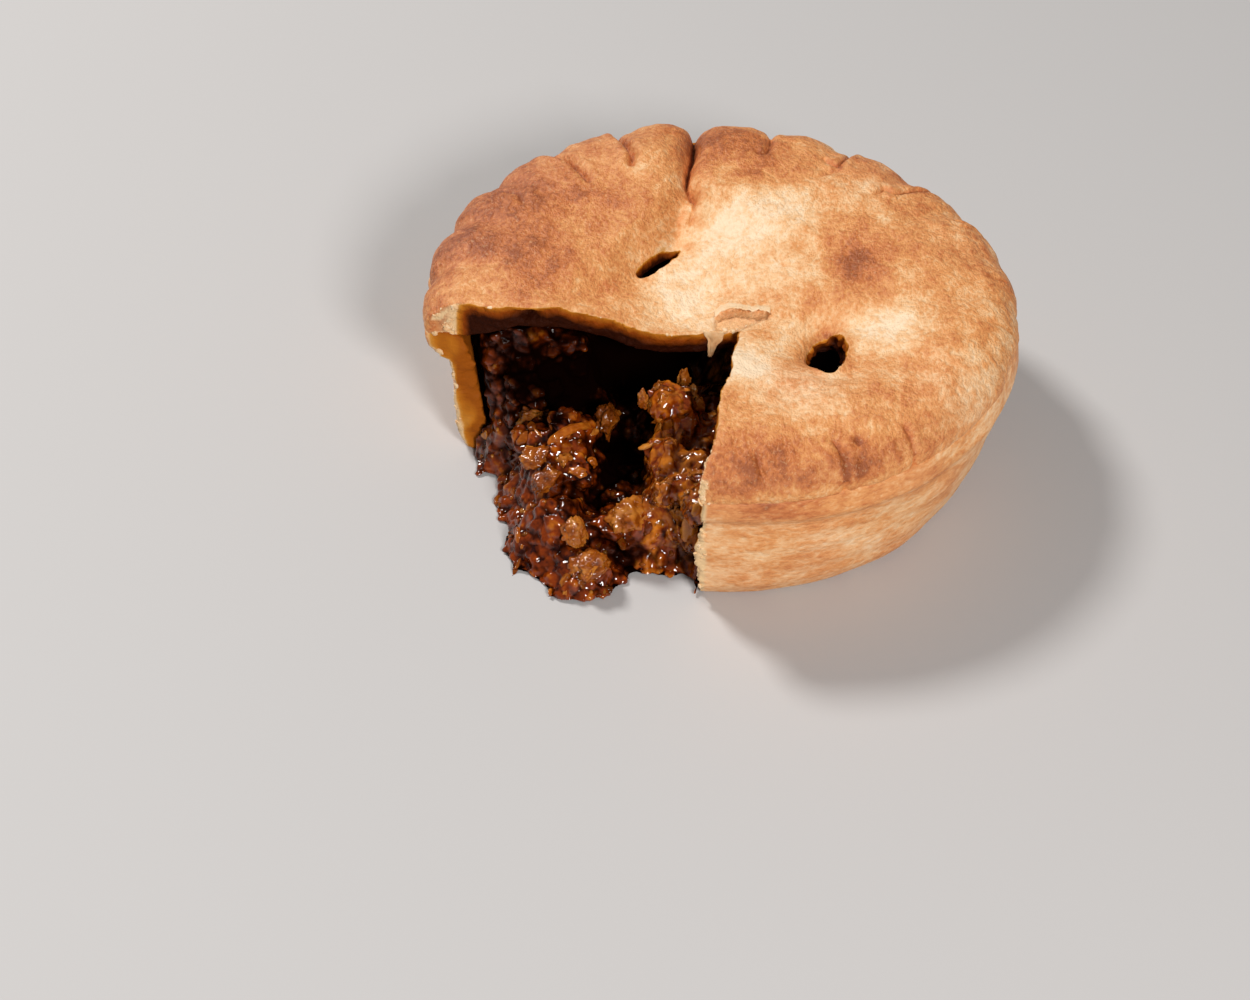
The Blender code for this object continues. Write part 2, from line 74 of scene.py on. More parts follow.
# The vents: centre, half length, half width and turn
VENT_ROUND = ((0.0190, -0.0180), 0.0045, 0.0041, math.radians(20.0))
VENT_SLIT = ((-0.0118, 0.0090), 0.0060, 0.0015, math.radians(50.0))

# The camera of the photograph: a 100 mm lens that looks along +Y and down
LENS_MM = 100.0
CAMERA_AIM = Vector((-0.01637, -0.02354, 0.0))
CAMERA_DISTANCE = 0.64225
CAMERA_ELEVATION = math.radians(40.89)
CAMERA_ROLL = math.radians(2.22)

# How fine each skin is, and how many smoothing passes take the solids' facets off
LID_VOXEL = 0.00042
CASE_VOXEL = 0.00055
FILLING_VOXEL = 0.00041
LID_SMOOTHING = 14
CASE_SMOOTHING = 10
FILLING_SMOOTHING = 3

# Inner skin further than this from a torn edge is out of sight. It is thinned until the whole skin has
# these shares of its triangles left.
HIDDEN_BEYOND = 0.0080
LID_KEPT = 0.76
CASE_KEPT = 0.88
FILLING_KEPT = 0.45

# Distances from a torn edge: the skin's form stays crisp within the first, a face is fully torn within
# the second, and it isn't torn past the third
CRISP_WITHIN = 0.0010
TORN_WITHIN = 0.0020
TORN_LIMIT = 0.0035

# The round vent's surroundings are pulled in this far from its middle
VENT_PULL_REACH = 0.0078

# The lid lies over the filling within the first radius, and on the case outside the second
LID_ON_FILLING = 0.0465
LID_ON_CASE = 0.0500

# Creases in the lid, in millimetres: the places that the line runs through, then its width and depth
CREASES = (
    (((-36.3, 42.0), (-29.6, 35.7), (-27.3, 31.6), (-25.4, 27.0)), 0.60, 2.4),
    (((-21.5, 49.0), (-18.6, 39.7), (-17.5, 35.8), (-17.6, 31.5)), 0.60, 2.6),
    (((-5.6, 53.5), (-5.7, 41.3), (-6.8, 35.3), (-7.1, 31.0), (-5.3, 24.5), (-6.0, 18.5)), 0.60, 2.3),
    (((-46.5, 27.8), (-41.1, 25.6), (-38.4, 23.8), (-37.4, 19.4)), 0.70, 1.6),
    (((9.5, 53.0), (8.9, 42.3), (8.0, 39.9), (6.1, 39.8)), 0.50, 1.3),
    (((26.0, 48.0), (22.0, 37.2), (20.5, 38.1), (19.0, 40.0)), 0.50, 1.3),
    (((21.9, 35.8), (16.9, 31.8)), 0.80, 0.7),
    (((41.8, 35.8), (32.3, 29.2), (30.7, 30.9), (28.9, 27.9)), 0.50, 1.3),
    (((49.1, 21.4), (42.5, 19.6)), 0.4, 0.6),
    (((48.3, 22.9), (42.0, 22.7)), 0.4, 0.5),
    (((52.6, 5.6), (48.6, 4.5)), 0.4, 0.6),
    (((53.2, -9.1), (47.9, -9.4)), 0.4, 0.5),
    (((6.2, -48.9), (7.4, -54.1)), 0.5, 0.9),
    (((19.5, -44.6), (21.7, -48.0), (22.3, -52.2)), 0.6, 1.1),
    (((24.5, -46.4), (24.4, -51.2)), 1.2, 0.6),
    (((32.2, -39.3), (34.8, -44.0)), 0.5, 0.9),
    (((9.9, 8.4), (10.9, 7.1), (11.0, 6.2)), 0.35, 0.6),
    (((11.2, 6.1), (13.4, 6.4)), 0.30, 0.4),
)

# The crust's mottling: scale and detail of each cloud, its weight in the colour, and its height
DOUGH_CLOUDS = (
    (85.0, 3.0, 0.65, 0.3),
    (300.0, 4.0, 0.80, 0.9),
    (1200.0, 3.0, 0.50, 1.0),
)

# Where the crust is browned more or less than round about: x, y and reach in millimetres, and how much
BROWNING = (
    (25, 6, 5, 0.55),
    (21, 13, 7, 0.20),
    (-50, 14, 14, 0.25),
    (-38, 30, 10, 0.20),
    (-14, 44, 9, 0.10),
    (2, 42, 9, 0.35),
    (37, -37, 9, -0.05),
    (22, -47, 14, 0.25),
    (28, -47, 9, -0.10),
    (25, -48, 6, 0.15),
    (-31, 10, 9, 0.15),
    (-21, 20, 8, 0.20),
    (0, 17, 10, -0.30),
    (9, 22, 9, -0.20),
    (-5, -2, 9, -0.40),
    (0, -1, 5, 0.20),
    (-29, -7, 8, -0.10),
    (-30, -2, 6, 0.25),
    (-42, -5, 6, -0.20),
    (3, -24, 7, -0.45),
    (30, -11, 7, -0.45),
    (14, -14, 5, -0.20),
    (1, -47, 4, -0.15),
    (12, 5, 6, -0.20),
    (19, -36, 8, -0.20),
    (8, -36, 8, -0.15),
    (3, -52, 6, 0.25),
    (18, -4, 5, 0.15),
    (28, -4, 5, 0.20),
    (7, 30, 6, 0.15),
    (-32, 2, 18, 0.10),
    (-20, 2, 7, 0.10),
    (-10, 22, 6, 0.15),
    (41, -26, 14, -0.10),
    (48, 0, 10, -0.10),
    (19, -43, 8, -0.15),
    (24, 30, 8, -0.10),
    (44, -30, 10, -0.10),
    (-39, -7, 6, 0.20),
)

# Where the crust is pinkish rather than golden: x, y and reach in millimetres, and how much
BLUSH = (
    (-50.0, 12.0, 12.0, 0.9),
    (-40.0, 32.0, 10.0, 0.8),
    (-24.0, 44.0, 9.0, 0.5),
    (14.0, -29.0, 8.0, 0.5),
    (40.0, -30.0, 10.0, 0.3),
    (30.0, 38.0, 10.0, 0.4),
    (48.0, 14.0, 9.0, 0.3),
)

# The free edge of the flake beside the apex, and the lower edge of the hollow it leaves, in millimetres
FLAKE_EDGE = ((-1.3, -6.0), (0.0, -4.9), (2.4, -5.0), (5.5, -6.7), (6.9, -6.2), (8.8, -7.0))
FLAKE_FOOT = ((2.0, -13.0), (7.7, -9.2))

# A burst bubble in the lid: x, y, reach and depth in millimetres
BURST_BUBBLES = ((23.8, -44.0, 0.60, 0.8),)

# How open a place is, for the painted shade, comes from rays that start this far above it and lean this
# much off its normal
RAY_START = 0.0004
RAY_SPREAD = 0.98

# Rays down onto the pie start at this height, and where they miss the lid, its level is taken as this
ABOVE_PIE = 0.060
DOWN = Vector((0.0, 0.0, -1.0))
LID_LEVEL = 0.0300

# How many small pieces are strewn over the filling and along the torn dough, and how thick a flake is
SHREDS = 260
GRAINS = 240
CHEESE_BITS = 26
LID_CRUMBS = 170
CASE_CRUMBS = 60
FLAKE_THICKNESS = 0.00024

# The gravy's gloss: its roughness, and its specular level where light reaches it
WET_ROUGHNESS = 0.06
WET_SHINE = 0.50

# Wet colours from the darkest tone to the lightest, and where on the scale of tones they lie
TONES = (0.10, 0.50, 0.90)
GRAVY_COLOURS = ((0.026, 0.0016, 0.0003), (0.230, 0.032, 0.0010), (0.620, 0.185, 0.012))
BEEF_COLOURS = ((0.055, 0.006, 0.0006), (0.290, 0.066, 0.004), (0.620, 0.235, 0.033))
CHEESE_COLOURS = ((0.125, 0.019, 0.001), (0.370, 0.087, 0.005), (0.640, 0.245, 0.030))
# The colour of the painted shade in crevices and under the lid
PAINTED_CREVICE_SHADE = (0.003, 0.0006, 0.0003)

# The crust's gloss: its roughness, and its specular level where it is dry and where gravy has soaked it
CRUST_ROUGHNESS = 0.55
DRY_SHINE = 0.45
SOAKED_SHINE = 0.05

# The crust's colours from the least browned to the most: golden, and pinkish where it blushes
GOLDEN_CRUST = (
    (0.02, (0.92, 0.69, 0.46)),
    (0.26, (0.86, 0.52, 0.26)),
    (0.50, (0.74, 0.315, 0.100)),
    (0.76, (0.55, 0.165, 0.042)),
    (1.00, (0.32, 0.080, 0.018)),
)
PINKISH_CRUST = (
    (0.02, (0.91, 0.65, 0.45)),
    (0.26, (0.82, 0.44, 0.26)),
    (0.50, (0.67, 0.265, 0.125)),
    (0.76, (0.48, 0.150, 0.062)),
    (1.00, (0.28, 0.075, 0.032)),
)
# Dough that gravy has soaked, from a little to fully, and near-black painted shade in the lid's gap
SOAKED_DOUGH_AND_GAP_SHADE = (
    (0.08, (0.66, 0.30, 0.050)),
    (0.26, (0.50, 0.160, 0.012)),
    (0.60, (0.260, 0.050, 0.003)),
    (0.95, (0.030, 0.005, 0.001)),
)
FLECK_COLOUR = (0.90, 0.60, 0.32)
CRUMB_COLOUR = (0.80, 0.54, 0.28)

# The floor, the lamps (name, place, size, power and colour) and the light from all round
FLOOR_COLOUR = (0.52, 0.505, 0.50)
LAMPS = (
    ("key", (-0.50, 0.41, 0.75), 0.22, 7.5, (1.0, 0.985, 0.96)),
    ("front_fill", (0.30, -0.77, 0.58), 0.24, 7.5, (1.0, 0.985, 0.97)),
)
SKY_COLOUR = (1.0, 0.99, 0.98)
SKY_STRENGTH = 0.16

# Painted shade in the filling: place and reach in millimetres, and how much darker it's painted, or lighter
# below 0
PAINTED_SHADE_PLACES = (
    (-12.0, 0.0, 14.0, 13.0, 1.0),
    (-22.0, -3.0, 16.0, 8.0, 0.9),
    (-35.0, -13.0, 20.0, 10.5, 0.85),
    (-27.0, -12.0, 15.0, 7.0, 0.85),
    (-18.0, -18.0, 7.0, 6.0, 1.0),
    (-19.0, -26.0, 7.0, 4.5, 0.95),
    (-21.0, -33.0, 8.0, 2.6, 0.9),
    (-14.5, -31.0, 14.0, 3.6, 0.8),
    (-29.0, -22.0, 18.0, 2.2, 0.8),
    (-26.0, -37.0, 11.0, 3.5, 0.8),
    (-16.0, -43.0, 3.0, 4.5, 0.6),
    (-27.0, -45.0, 6.2, 1.3, 1.0),
    (-7.0, -31.0, 21.0, 9.0, -0.9),
    (-6.0, -43.0, 12.0, 6.0, -0.6),
)


# ---------------------------------------------------------------- small helpers


def smoothstep(low, high, value):
    """A share that goes smoothly from 0 at low to 1 at high."""
    share = np.clip((value - low) / (high - low), 0.0, 1.0)
    return share * share * (3.0 - 2.0 * share)


def bell(distance, width):
    """1 at no distance, and falling off smoothly over the width."""
    return np.exp(-((distance / width) ** 2))


def noise_at(points, size, seed, stretch=(1.0, 1.0, 1.0)):
    """Smooth noise from about -1 to 1, in lumps of about that size; below 1, stretch draws them out."""
    places = (points * np.array(stretch) / size + seed * 7.31).tolist()
    return np.array([noise.noise(place) for place in places])


def unit(vectors):
    return vectors / np.maximum(np.linalg.norm(vectors, axis=1), TINY)[:, None]


def deselect():
    bpy.ops.object.select_all(action="DESELECT")


def take(obj):
    """Makes one object the only selected one, and the active one."""
    deselect()
    obj.select_set(True)
    bpy.context.view_layer.objects.active = obj


def put_in_scene(obj):
    bpy.context.scene.collection.objects.link(obj)


def apply_modifiers(obj):
    take(obj)
    for change in list(obj.modifiers):
        bpy.ops.object.modifier_apply(modifier=change.name)


def copy_of_solid(node, name):
    """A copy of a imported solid, its loose triangles joined into one skin."""
    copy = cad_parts[node].copy()
    copy.data = copy.data.copy()
    copy.name = name
    copy.data.name = name
    put_in_scene(copy)
    take(copy)
    bpy.ops.object.mode_set(mode="EDIT")
    bpy.ops.mesh.select_all(action="SELECT")
    bpy.ops.mesh.remove_doubles(threshold=0.00001)
    bpy.ops.object.mode_set(mode="OBJECT")
    copy.data.materials.clear()
    return copy


def grow_skin(obj, voxel):
    """Replaces the copy's facets by a fine even skin."""
    skin = obj.modifiers.new("Skin", "REMESH")
    skin.mode = "VOXEL"
    skin.voxel_size = voxel
    apply_modifiers(obj)
    bpy.ops.object.shade_smooth()


def soften(obj, passes, softness):
    """Smooths the facets out. softness holds how much for each point, from 0 to 1."""
    group = obj.vertex_groups.new(name="soft")
    for level in range(1, 11):
        members = np.flatnonzero(np.rint(softness * 10.0) == level).tolist()
        if members:
            group.add(members, level / 10.0, "REPLACE")
    smooth = obj.modifiers.new("Soften", "SMOOTH")
    smooth.factor = 0.5
    smooth.iterations = passes
    smooth.vertex_group = "soft"
    apply_modifiers(obj)
    obj.vertex_groups.clear()


def thin_out(obj, hidden, ratio):
    """Leaves fewer points where hidden is above 0, until the whole skin has that ratio of its triangles."""
    group = obj.vertex_groups.new(name="hidden")
    group.add(np.flatnonzero(hidden > 0.5).tolist(), 1.0, "REPLACE")
    fewer = obj.modifiers.new("Fewer", "DECIMATE")
    fewer.ratio = ratio
    fewer.vertex_group = "hidden"
    fewer.vertex_group_factor = 1.0
    apply_modifiers(obj)
    obj.vertex_groups.clear()


def read_points(obj, what):
    flat = np.empty(len(obj.data.vertices) * 3, dtype=np.float32)
    obj.data.vertices.foreach_get(what, flat)
    return flat.reshape(-1, 3).astype(float)


def points_of(obj):
    return read_points(obj, "co")


def normals_of(obj):
    return read_points(obj, "normal")


def move_points(obj, points):
    obj.data.vertices.foreach_set("co", points.astype(np.float32).ravel())
    obj.data.update()


def keep_above_floor(points):
    points[:, 2] = np.maximum(points[:, 2], CAD_BOX[0][2])


def from_axis(points):
    """Each point's distance from the pie's axis, and its level direction away from the axis."""
    radius = np.hypot(points[:, 0], points[:, 1])
    return radius, points[:, :2] / np.maximum(radius, TINY)[:, None]


def write_mask(obj, name, values):
    """Keeps one number for each point on the mesh, for the material to read."""
    mask = obj.data.attributes.get(name) or obj.data.attributes.new(name, "FLOAT", "POINT")
    mask.data.foreach_set("value", np.clip(values, 0.0, 1.0).astype(np.float32))


def mask_of(obj, name):
    values = np.empty(len(obj.data.vertices), dtype=np.float32)
    obj.data.attributes[name].data.foreach_get("value", values)
    return values


def distance_along(x, y, line):
    """Each point's distance from a line of places, and how far along the line it is, from 0 to 1."""
    best = np.full(len(x), np.inf)
    share = np.zeros(len(x))
    pieces = len(line) - 1
    for step in range(pieces):
        start = np.array(line[step])
        run = np.array(line[step + 1]) - start
        along = np.clip(((x - start[0]) * run[0] + (y - start[1]) * run[1]) / (run @ run), 0.0, 1.0)
        away = np.hypot(x - start[0] - along * run[0], y - start[1] - along * run[1])
        closer = away < best
        best = np.where(closer, away, best)
        share = np.where(closer, (step + along) / pieces, share)
    return best, share


# ---------------------------------------------------------------- the missing wedge


def outside_cut(x, y):
    """How far each point is from the missing wedge, and below 0 inside it."""
    bow = CUT_BOW * bell(x - CUT_BOW_CENTRE, CUT_BOW_WIDTH)
    past_first = CUT_APEX[1] - bow - y
    past_second = CUT_APEX[0] + math.tan(CUT_SWING) * (y - CUT_APEX[1]) - x
    return -np.minimum(past_first, past_second)


def vent_gap(x, y, vent):
    """Roughly how far each point is from a vent's edge, and below 0 inside the vent."""
    centre, half_length, half_width, turn = vent
    along = (x - centre[0]) * math.cos(turn) + (y - centre[1]) * math.sin(turn)
    across = (y - centre[1]) * math.cos(turn) - (x - centre[0]) * math.sin(turn)
    return (np.hypot(along / half_length, across / half_width) - 1.0) * half_width


def softness_near(edge):
    """How much a skin may be smoothed: little next to a torn edge, fully further off."""
    return 0.25 + 0.75 * smoothstep(CRISP_WITHIN, TORN_LIMIT, edge)


def torn_faces(normals, edge, outer):
    """Where a skin is torn: on upright faces close to the edge, and not on its baked outside."""
    sideways = 1.0 - smoothstep(0.45, 0.75, np.abs(normals[:, 2]))
    near = 1.0 - smoothstep(TORN_WITHIN, TORN_LIMIT, edge)
    return sideways * near * (1.0 - outer * (edge > CRISP_WITHIN))


# ---------------------------------------------------------------- the crust's form


def crease_relief(x, y):
    """How far the creases press the lid down, its crust puffed up beside them, and how dark they are."""
    relief = np.zeros(len(x))
    dark = np.zeros(len(x))
    wander = 0.25 * noise_at(np.stack([x, y, np.zeros(len(x))], axis=1), 0.0022, 9)
    for line, width, depth in CREASES:
        away, share = distance_along(x / MM, y / MM, line)
        away = np.abs(away + wander)
        fade = (1.0 - share) ** 0.3 * smoothstep(-0.05, 0.05, share)
        relief -= depth * MM * fade * np.exp(-((away / width) ** 1.5))
        relief += 0.20 * depth * MM * fade * bell(away - 3.0 * width, 1.8 * width)
        dark = np.maximum(dark, min(1.0, depth / 1.6) * fade * bell(away, 0.8 * width))
    return relief, dark


def spots_at(x, y, amount, spots):
    """Adds what each spot of a table gives to the amount at each point."""
    for spot_x, spot_y, reach, more in spots:
        away = np.hypot(x / MM - spot_x, y / MM - spot_y)
        amount = amount + more * bell(away, reach)
    return amount


def seen_from_above(tree, x, y):
    """The place on a skin that a ray straight down meets first, or None."""
    return tree.ray_cast(Vector((x, y, ABOVE_PIE)), DOWN)[0]


def depth_below_top(obj, points, normals):
    """How deep each point lies under the skin's own top, looked up a little way into the dough."""
    tree = BVHTree.FromObject(obj, bpy.context.evaluated_depsgraph_get())
    inner = points[:, :2] - 0.0011 * normals[:, :2]
    depth = np.zeros(len(points))
    for index, (x, y) in enumerate(inner.tolist()):
        hit = seen_from_above(tree, x, y)
        if hit:
            depth[index] = hit.z - points[index, 2]
    return depth


def around(points, size_round, size_in, seed):
    """Noise that is drawn out round the pie or in towards its middle."""
    x, y, z = points.T
    radius = np.hypot(x, y)
    turn = np.arctan2(y, x)
    ring = np.stack([RIM_RADIUS * np.cos(turn), RIM_RADIUS * np.sin(turn), np.zeros(len(x))], axis=1)
    ring = ring / size_round
    ring[:, 2] = (radius - z) / size_in
    return noise_at(ring, 1.0, seed)


def within_lid(x, y):
    """How far a place on the lid is from the nearest torn edge: the cut's or a vent's."""
    return np.minimum(outside_cut(x, y), np.minimum(vent_gap(x, y, VENT_ROUND), vent_gap(x, y, VENT_SLIT)))


def shape_round_vent(points, normals):
    """Slopes the round vent's far and left sides in. Gives how much each point is part of that slope."""
    x, y, _ = points.T
    (vent_x, vent_y), _, _, _ = VENT_ROUND
    away = np.maximum(np.hypot(x - vent_x, y - vent_y), TINY)
    slope_side = smoothstep(-0.4, 0.7, (0.66 * (y - vent_y) - 0.75 * (x - vent_x)) / away)
    near_vent = np.exp(-np.maximum(vent_gap(x, y, VENT_ROUND), 0.0) / 0.0020)
    pull = bell(away, VENT_PULL_REACH)
    points[:, 2] += smoothstep(-0.2, 0.2, normals[:, 2]) * near_vent * (0.0013 - 0.0030 * slope_side)
    points[:, 1] += 0.75 * pull * (y - vent_y)
    points[:, 0] -= 0.28 * pull * (x - vent_x)
    near_side = smoothstep(0.0, 0.0030, vent_y - y)
    points[:, 1] -= 0.0020 * near_side * bell(x - vent_x, 0.0026) * pull
    return near_vent * slope_side


def sink_flake_hollow(points, top):
    """Lowers the lid beside the apex, where a flake of its top layer has come off. Gives where."""
    x, y, _ = points.T
    edge_x, edge_y = np.array(FLAKE_EDGE).T * MM
    foot_x, foot_y = np.array(FLAKE_FOOT).T * MM
    bare = smoothstep(0.0, 0.00035, np.interp(x, edge_x, edge_y) - y)
    bare *= smoothstep(edge_x[0] - 0.0002, edge_x[0] + 0.0006, x)
    bare *= 1.0 - smoothstep(edge_x[-1] - 0.0006, edge_x[-1] + 0.0002, x)
    bare *= top * smoothstep(0.0, 0.0010, y - np.interp(x, foot_x, foot_y))
    points[:, 2] -= 0.0010 * bare
    return bare


def sink_bubbles(points, top):
    """Sinks the burst bubbles into the lid. Gives where they are."""
    x, y, _ = points.T
    specks = np.zeros(len(points))
    for spot_x, spot_y, reach, deep in BURST_BUBBLES:
        spot = bell(np.hypot(x / MM - spot_x, y / MM - spot_y), reach)
        points[:, 2] -= top * deep * MM * spot
        specks = np.maximum(specks, spot)
    return specks


def tear_lid(points, normals, edge, rim):
    """Roughens the crumbly layers in the faces of the cut and of the vents. Gives where they are."""
    x, y, _ = points.T
    torn = torn_faces(normals, edge, rim)
    from_slit = vent_gap(x, y, VENT_SLIT)
    torn *= 1.0 - (from_slit <= TORN_LIMIT) * smoothstep(0.0005, 0.0012, from_slit)
    layers = noise_at(points, 0.0024, 4, (1.0, 1.0, 3.0)) + 0.7 * noise_at(points, 0.0010, 5)
    rough = 0.00042 + 0.00040 * (vent_gap(x, y, VENT_ROUND) < 0.0030)
    points[:, :2] += (torn * rough * layers)[:, None] * normals[:, :2]
    return torn


def make_lid():
    lid = copy_of_solid("pastry_lid", "crust_lid")
    grow_skin(lid, LID_VOXEL)
    x, y, _ = points_of(lid).T
    edge = within_lid(x, y)
    soften(lid, LID_SMOOTHING, softness_near(edge))
    thin_out(lid, (normals_of(lid)[:, 2] < -0.5) * (edge > HIDDEN_BEYOND), LID_KEPT)
    points = points_of(lid)
    normals = normals_of(lid)
    x, y, z = points.T
    edge = within_lid(x, y)
    radius, outwards = from_axis(points)
    share = radius / RIM_RADIUS
    top = smoothstep(0.10, 0.50, normals[:, 2])
    rim = smoothstep(0.90, 0.97, share) * smoothstep(SEAM_HEIGHT, SEAM_HEIGHT + 0.0012, z)

    # The top: creases, soft dents, wrinkles across the rim and fine crumple
    lift, creased = crease_relief(x, y)
    lift += 0.00040 * noise_at(points, 0.0070, 1) + 0.00022 * noise_at(points, 0.0028, 2)
    lift += 0.00010 * noise_at(points, 0.0011, 3, (0.6, 1.0, 1.0))
    wrinkles = smoothstep(0.80, 0.94, share) * around(points, 0.0016, 0.0070, 8)
    lift += 0.00013 * wrinkles
    points[:, 2] += top * lift
    points[:, :2] += (rim * (1.0 - top) * lift)[:, None] * outwards
    vent_slope = shape_round_vent(points, normals)
    bare = sink_flake_hollow(points, top)
    specks = sink_bubbles(points, top)
    torn = tear_lid(points, normals, edge, rim)

    # The rim's lower edge is pressed onto the case.
    seam = smoothstep(0.0500, 0.0530, radius) * (1.0 - smoothstep(SEAM_HEIGHT, SEAM_HEIGHT + 0.0016, z))
    points[:, 2] -= 0.00045 * seam
    move_points(lid, points)

    # The gap under the lifted edge at the left of the cut
    depth = depth_below_top(lid, points, normals)
    soak = 0.0006 * noise_at(points, 0.0035, 6) + 0.0003 * noise_at(points, 0.0012, 7)
    gap = torn * bell(x + 0.0352, 0.0024) * smoothstep(0.0006, 0.0012, depth + 0.3 * soak)
    gap *= 1.0 - smoothstep(0.0022, 0.0034, depth)
    points[:, 1] += 0.0022 * gap
    move_points(lid, points)

    # What the material reads: gravy soaks up from below, and the rim is paler where it joins the case.
    soak += 0.0003 * smoothstep(-0.0160, -0.0100, y) * smoothstep(0.012, 0.020, x + 0.050)
    over_filling = 1.0 - smoothstep(LID_ON_FILLING, LID_ON_CASE, radius)
    inside = np.maximum(torn, smoothstep(0.2, 0.5, -normals[:, 2]))
    stain_and_shade = np.clip((depth + soak + 0.0008) / 0.0036, 0.0, 1.0) * over_filling * inside
    # The gap under the lifted edge is coloured nearly black as painted shade.
    write_mask(lid, "stain_and_shade", np.maximum(stain_and_shade, 0.9 * gap))
    fused = smoothstep(0.985, 1.0, share) * (1.0 - smoothstep(0.0275, 0.0300, z))
    baked = 0.42 + 0.16 * smoothstep(0.30, 0.95, np.hypot(x, y) / RIM_RADIUS)
    browning = spots_at(x, y, baked, BROWNING) + 0.10 * wrinkles + 0.45 * creased + 0.8 * specks
    browning += 0.45 * vent_slope + bare * (0.55 - browning)
    write_mask(lid, "browning", browning + 0.8 * fused * (0.46 - browning))
    write_mask(lid, "blush", spots_at(x, y, np.zeros(len(x)), BLUSH))
    write_mask(lid, "crumb", np.maximum(torn * (1.0 - bare), 0.45 * bare))
    return lid


def make_case():
    case = copy_of_solid("pastry_case", "crust_case")
    grow_skin(case, CASE_VOXEL)
    points = points_of(case)
    edge = outside_cut(points[:, 0], points[:, 1])
    soften(case, CASE_SMOOTHING, softness_near(edge))
    normals = normals_of(case)
    facing_in = (normals[:, :2] * points[:, :2]).sum(axis=1) < -0.3 * np.hypot(points[:, 0], points[:, 1])
    thin_out(case, facing_in * (edge > HIDDEN_BEYOND), CASE_KEPT)
    points = points_of(case)
    normals = normals_of(case)
    x, y, z = points.T
    edge = outside_cut(x, y)
    radius, outwards = from_axis(points)
    facing_out = (normals[:, :2] * outwards).sum(axis=1)
    outer = smoothstep(0.2, 0.6, facing_out) * smoothstep(0.0435, 0.0450, radius)

    # The wall: rolled streaks, lumps and fine grain
    rolled = noise_at(points, 0.0060, 11, (0.45, 0.45, 2.2))
    lumps = noise_at(points, 0.0090, 12)
    fine = noise_at(points, 0.0016, 13, (0.6, 0.6, 2.0))
    push = outer * (0.00022 * rolled + 0.00026 * lumps + 0.00007 * fine)
    points[:, :2] += push[:, None] * outwards

    # The torn faces, and the flange's upper edge, which is pressed up against the lid
    torn = torn_faces(normals, edge, outer)
    layers = noise_at(points, 0.0022, 14, (1.0, 1.0, 2.0)) + 0.7 * noise_at(points, 0.0010, 15)
    points[:, :2] += (torn * 0.00042 * layers)[:, None] * normals[:, :2]
    seam = smoothstep(0.0480, 0.0510, radius) * smoothstep(SEAM_HEIGHT - 0.0022, SEAM_HEIGHT - 0.0002, z)
    points[:, 2] += 0.00110 * seam
    points[:, :2] += (0.00020 * seam)[:, None] * outwards
    keep_above_floor(points)
    move_points(case, points)

    # What the material reads: gravy soaks out from the filling, and the flange is browner, with a scorch.
    wall = 0.0480 + 0.0040 * np.clip(z / 0.0205, 0.0, 1.0) + 0.0026 * smoothstep(0.0195, 0.0215, z)
    inwards = wall - np.hypot(x, y)
    soak = 0.0009 * noise_at(points, 0.0045, 16) + 0.0004 * noise_at(points, 0.0014, 17)
    stain_and_shade = np.clip((inwards + soak + 0.0004) / 0.0060, 0.0, 0.50) * (1.0 - outer)
    write_mask(case, "stain_and_shade", stain_and_shade)
    flange = smoothstep(0.0190, 0.0235, z)
    scorch = 0.30 * bell(np.hypot(x - 0.0095, y + 0.0530), 0.0075) * smoothstep(0.0215, 0.0240, z)
    write_mask(case, "browning", 0.38 + 0.10 * flange + 0.06 * lumps + scorch)
    write_mask(case, "blush", 0.15 + 0.3 * lumps)
    write_mask(case, "crumb", torn)
    return case


# ---------------------------------------------------------------- the filling


def triangles_of(obj):
    mesh = obj.data
    mesh.calc_loop_triangles()
    flat = np.empty(len(mesh.loop_triangles) * 3, dtype=np.int32)
    mesh.loop_triangles.foreach_get("vertices", flat)
    return flat.reshape(-1, 3)


def tree_of(objects):
    """One search tree over several skins, for rays that any of them stops."""
    corners = []
    triangles = []
    start = 0
    for obj in objects:
        points = points_of(obj)
        corners += points.tolist()
        triangles += (triangles_of(obj) + start).tolist()
        start += len(points)
    return BVHTree.FromPolygons(corners, triangles, all_triangles=True)


def openness(points, normals, tree, reach, rays):
    """The share of rays that leave each point freely: low in crevices and under the lid."""
    draw = np.random.default_rng(31)
    free = np.zeros(len(points))
    for ray in unit(draw.normal(size=(rays, 3))):
        aim = unit(normals + RAY_SPREAD * ray)
        start = points + RAY_START * normals
        for index, (place, way) in enumerate(zip(start.tolist(), aim.tolist())):
            if tree.ray_cast(place, way, reach)[0] is None:
                free[index] += 1.0
    return free / rays


def pebbles(points, size, seed):
    """Lumps of about that size pressed together.

    Gives how high each point is on its lump, how far it is from a gap, and its lump's own number.
    """
    warp = 0.35 * np.stack([noise_at(points, 1.4 * size, seed + part) for part in range(3)], axis=1)
    places = (points / size + warp + 5.17 * seed).tolist()
    found = [noise.voronoi(place) for place in places]
    near = np.array([distances[:2] for distances, _ in found])
    middles = np.array([tuple(centres[0]) for _, centres in found])
    height = 1.0 - smoothstep(0.05, 0.85, near[:, 0])
    from_gap = smoothstep(0.0, 0.30, near[:, 1] - near[:, 0])
    scrambled = np.abs(np.sin(middles @ np.array([12.99, 78.23, 37.72])) * 43.76)
    return height, from_gap, np.modf(scrambled)[0]


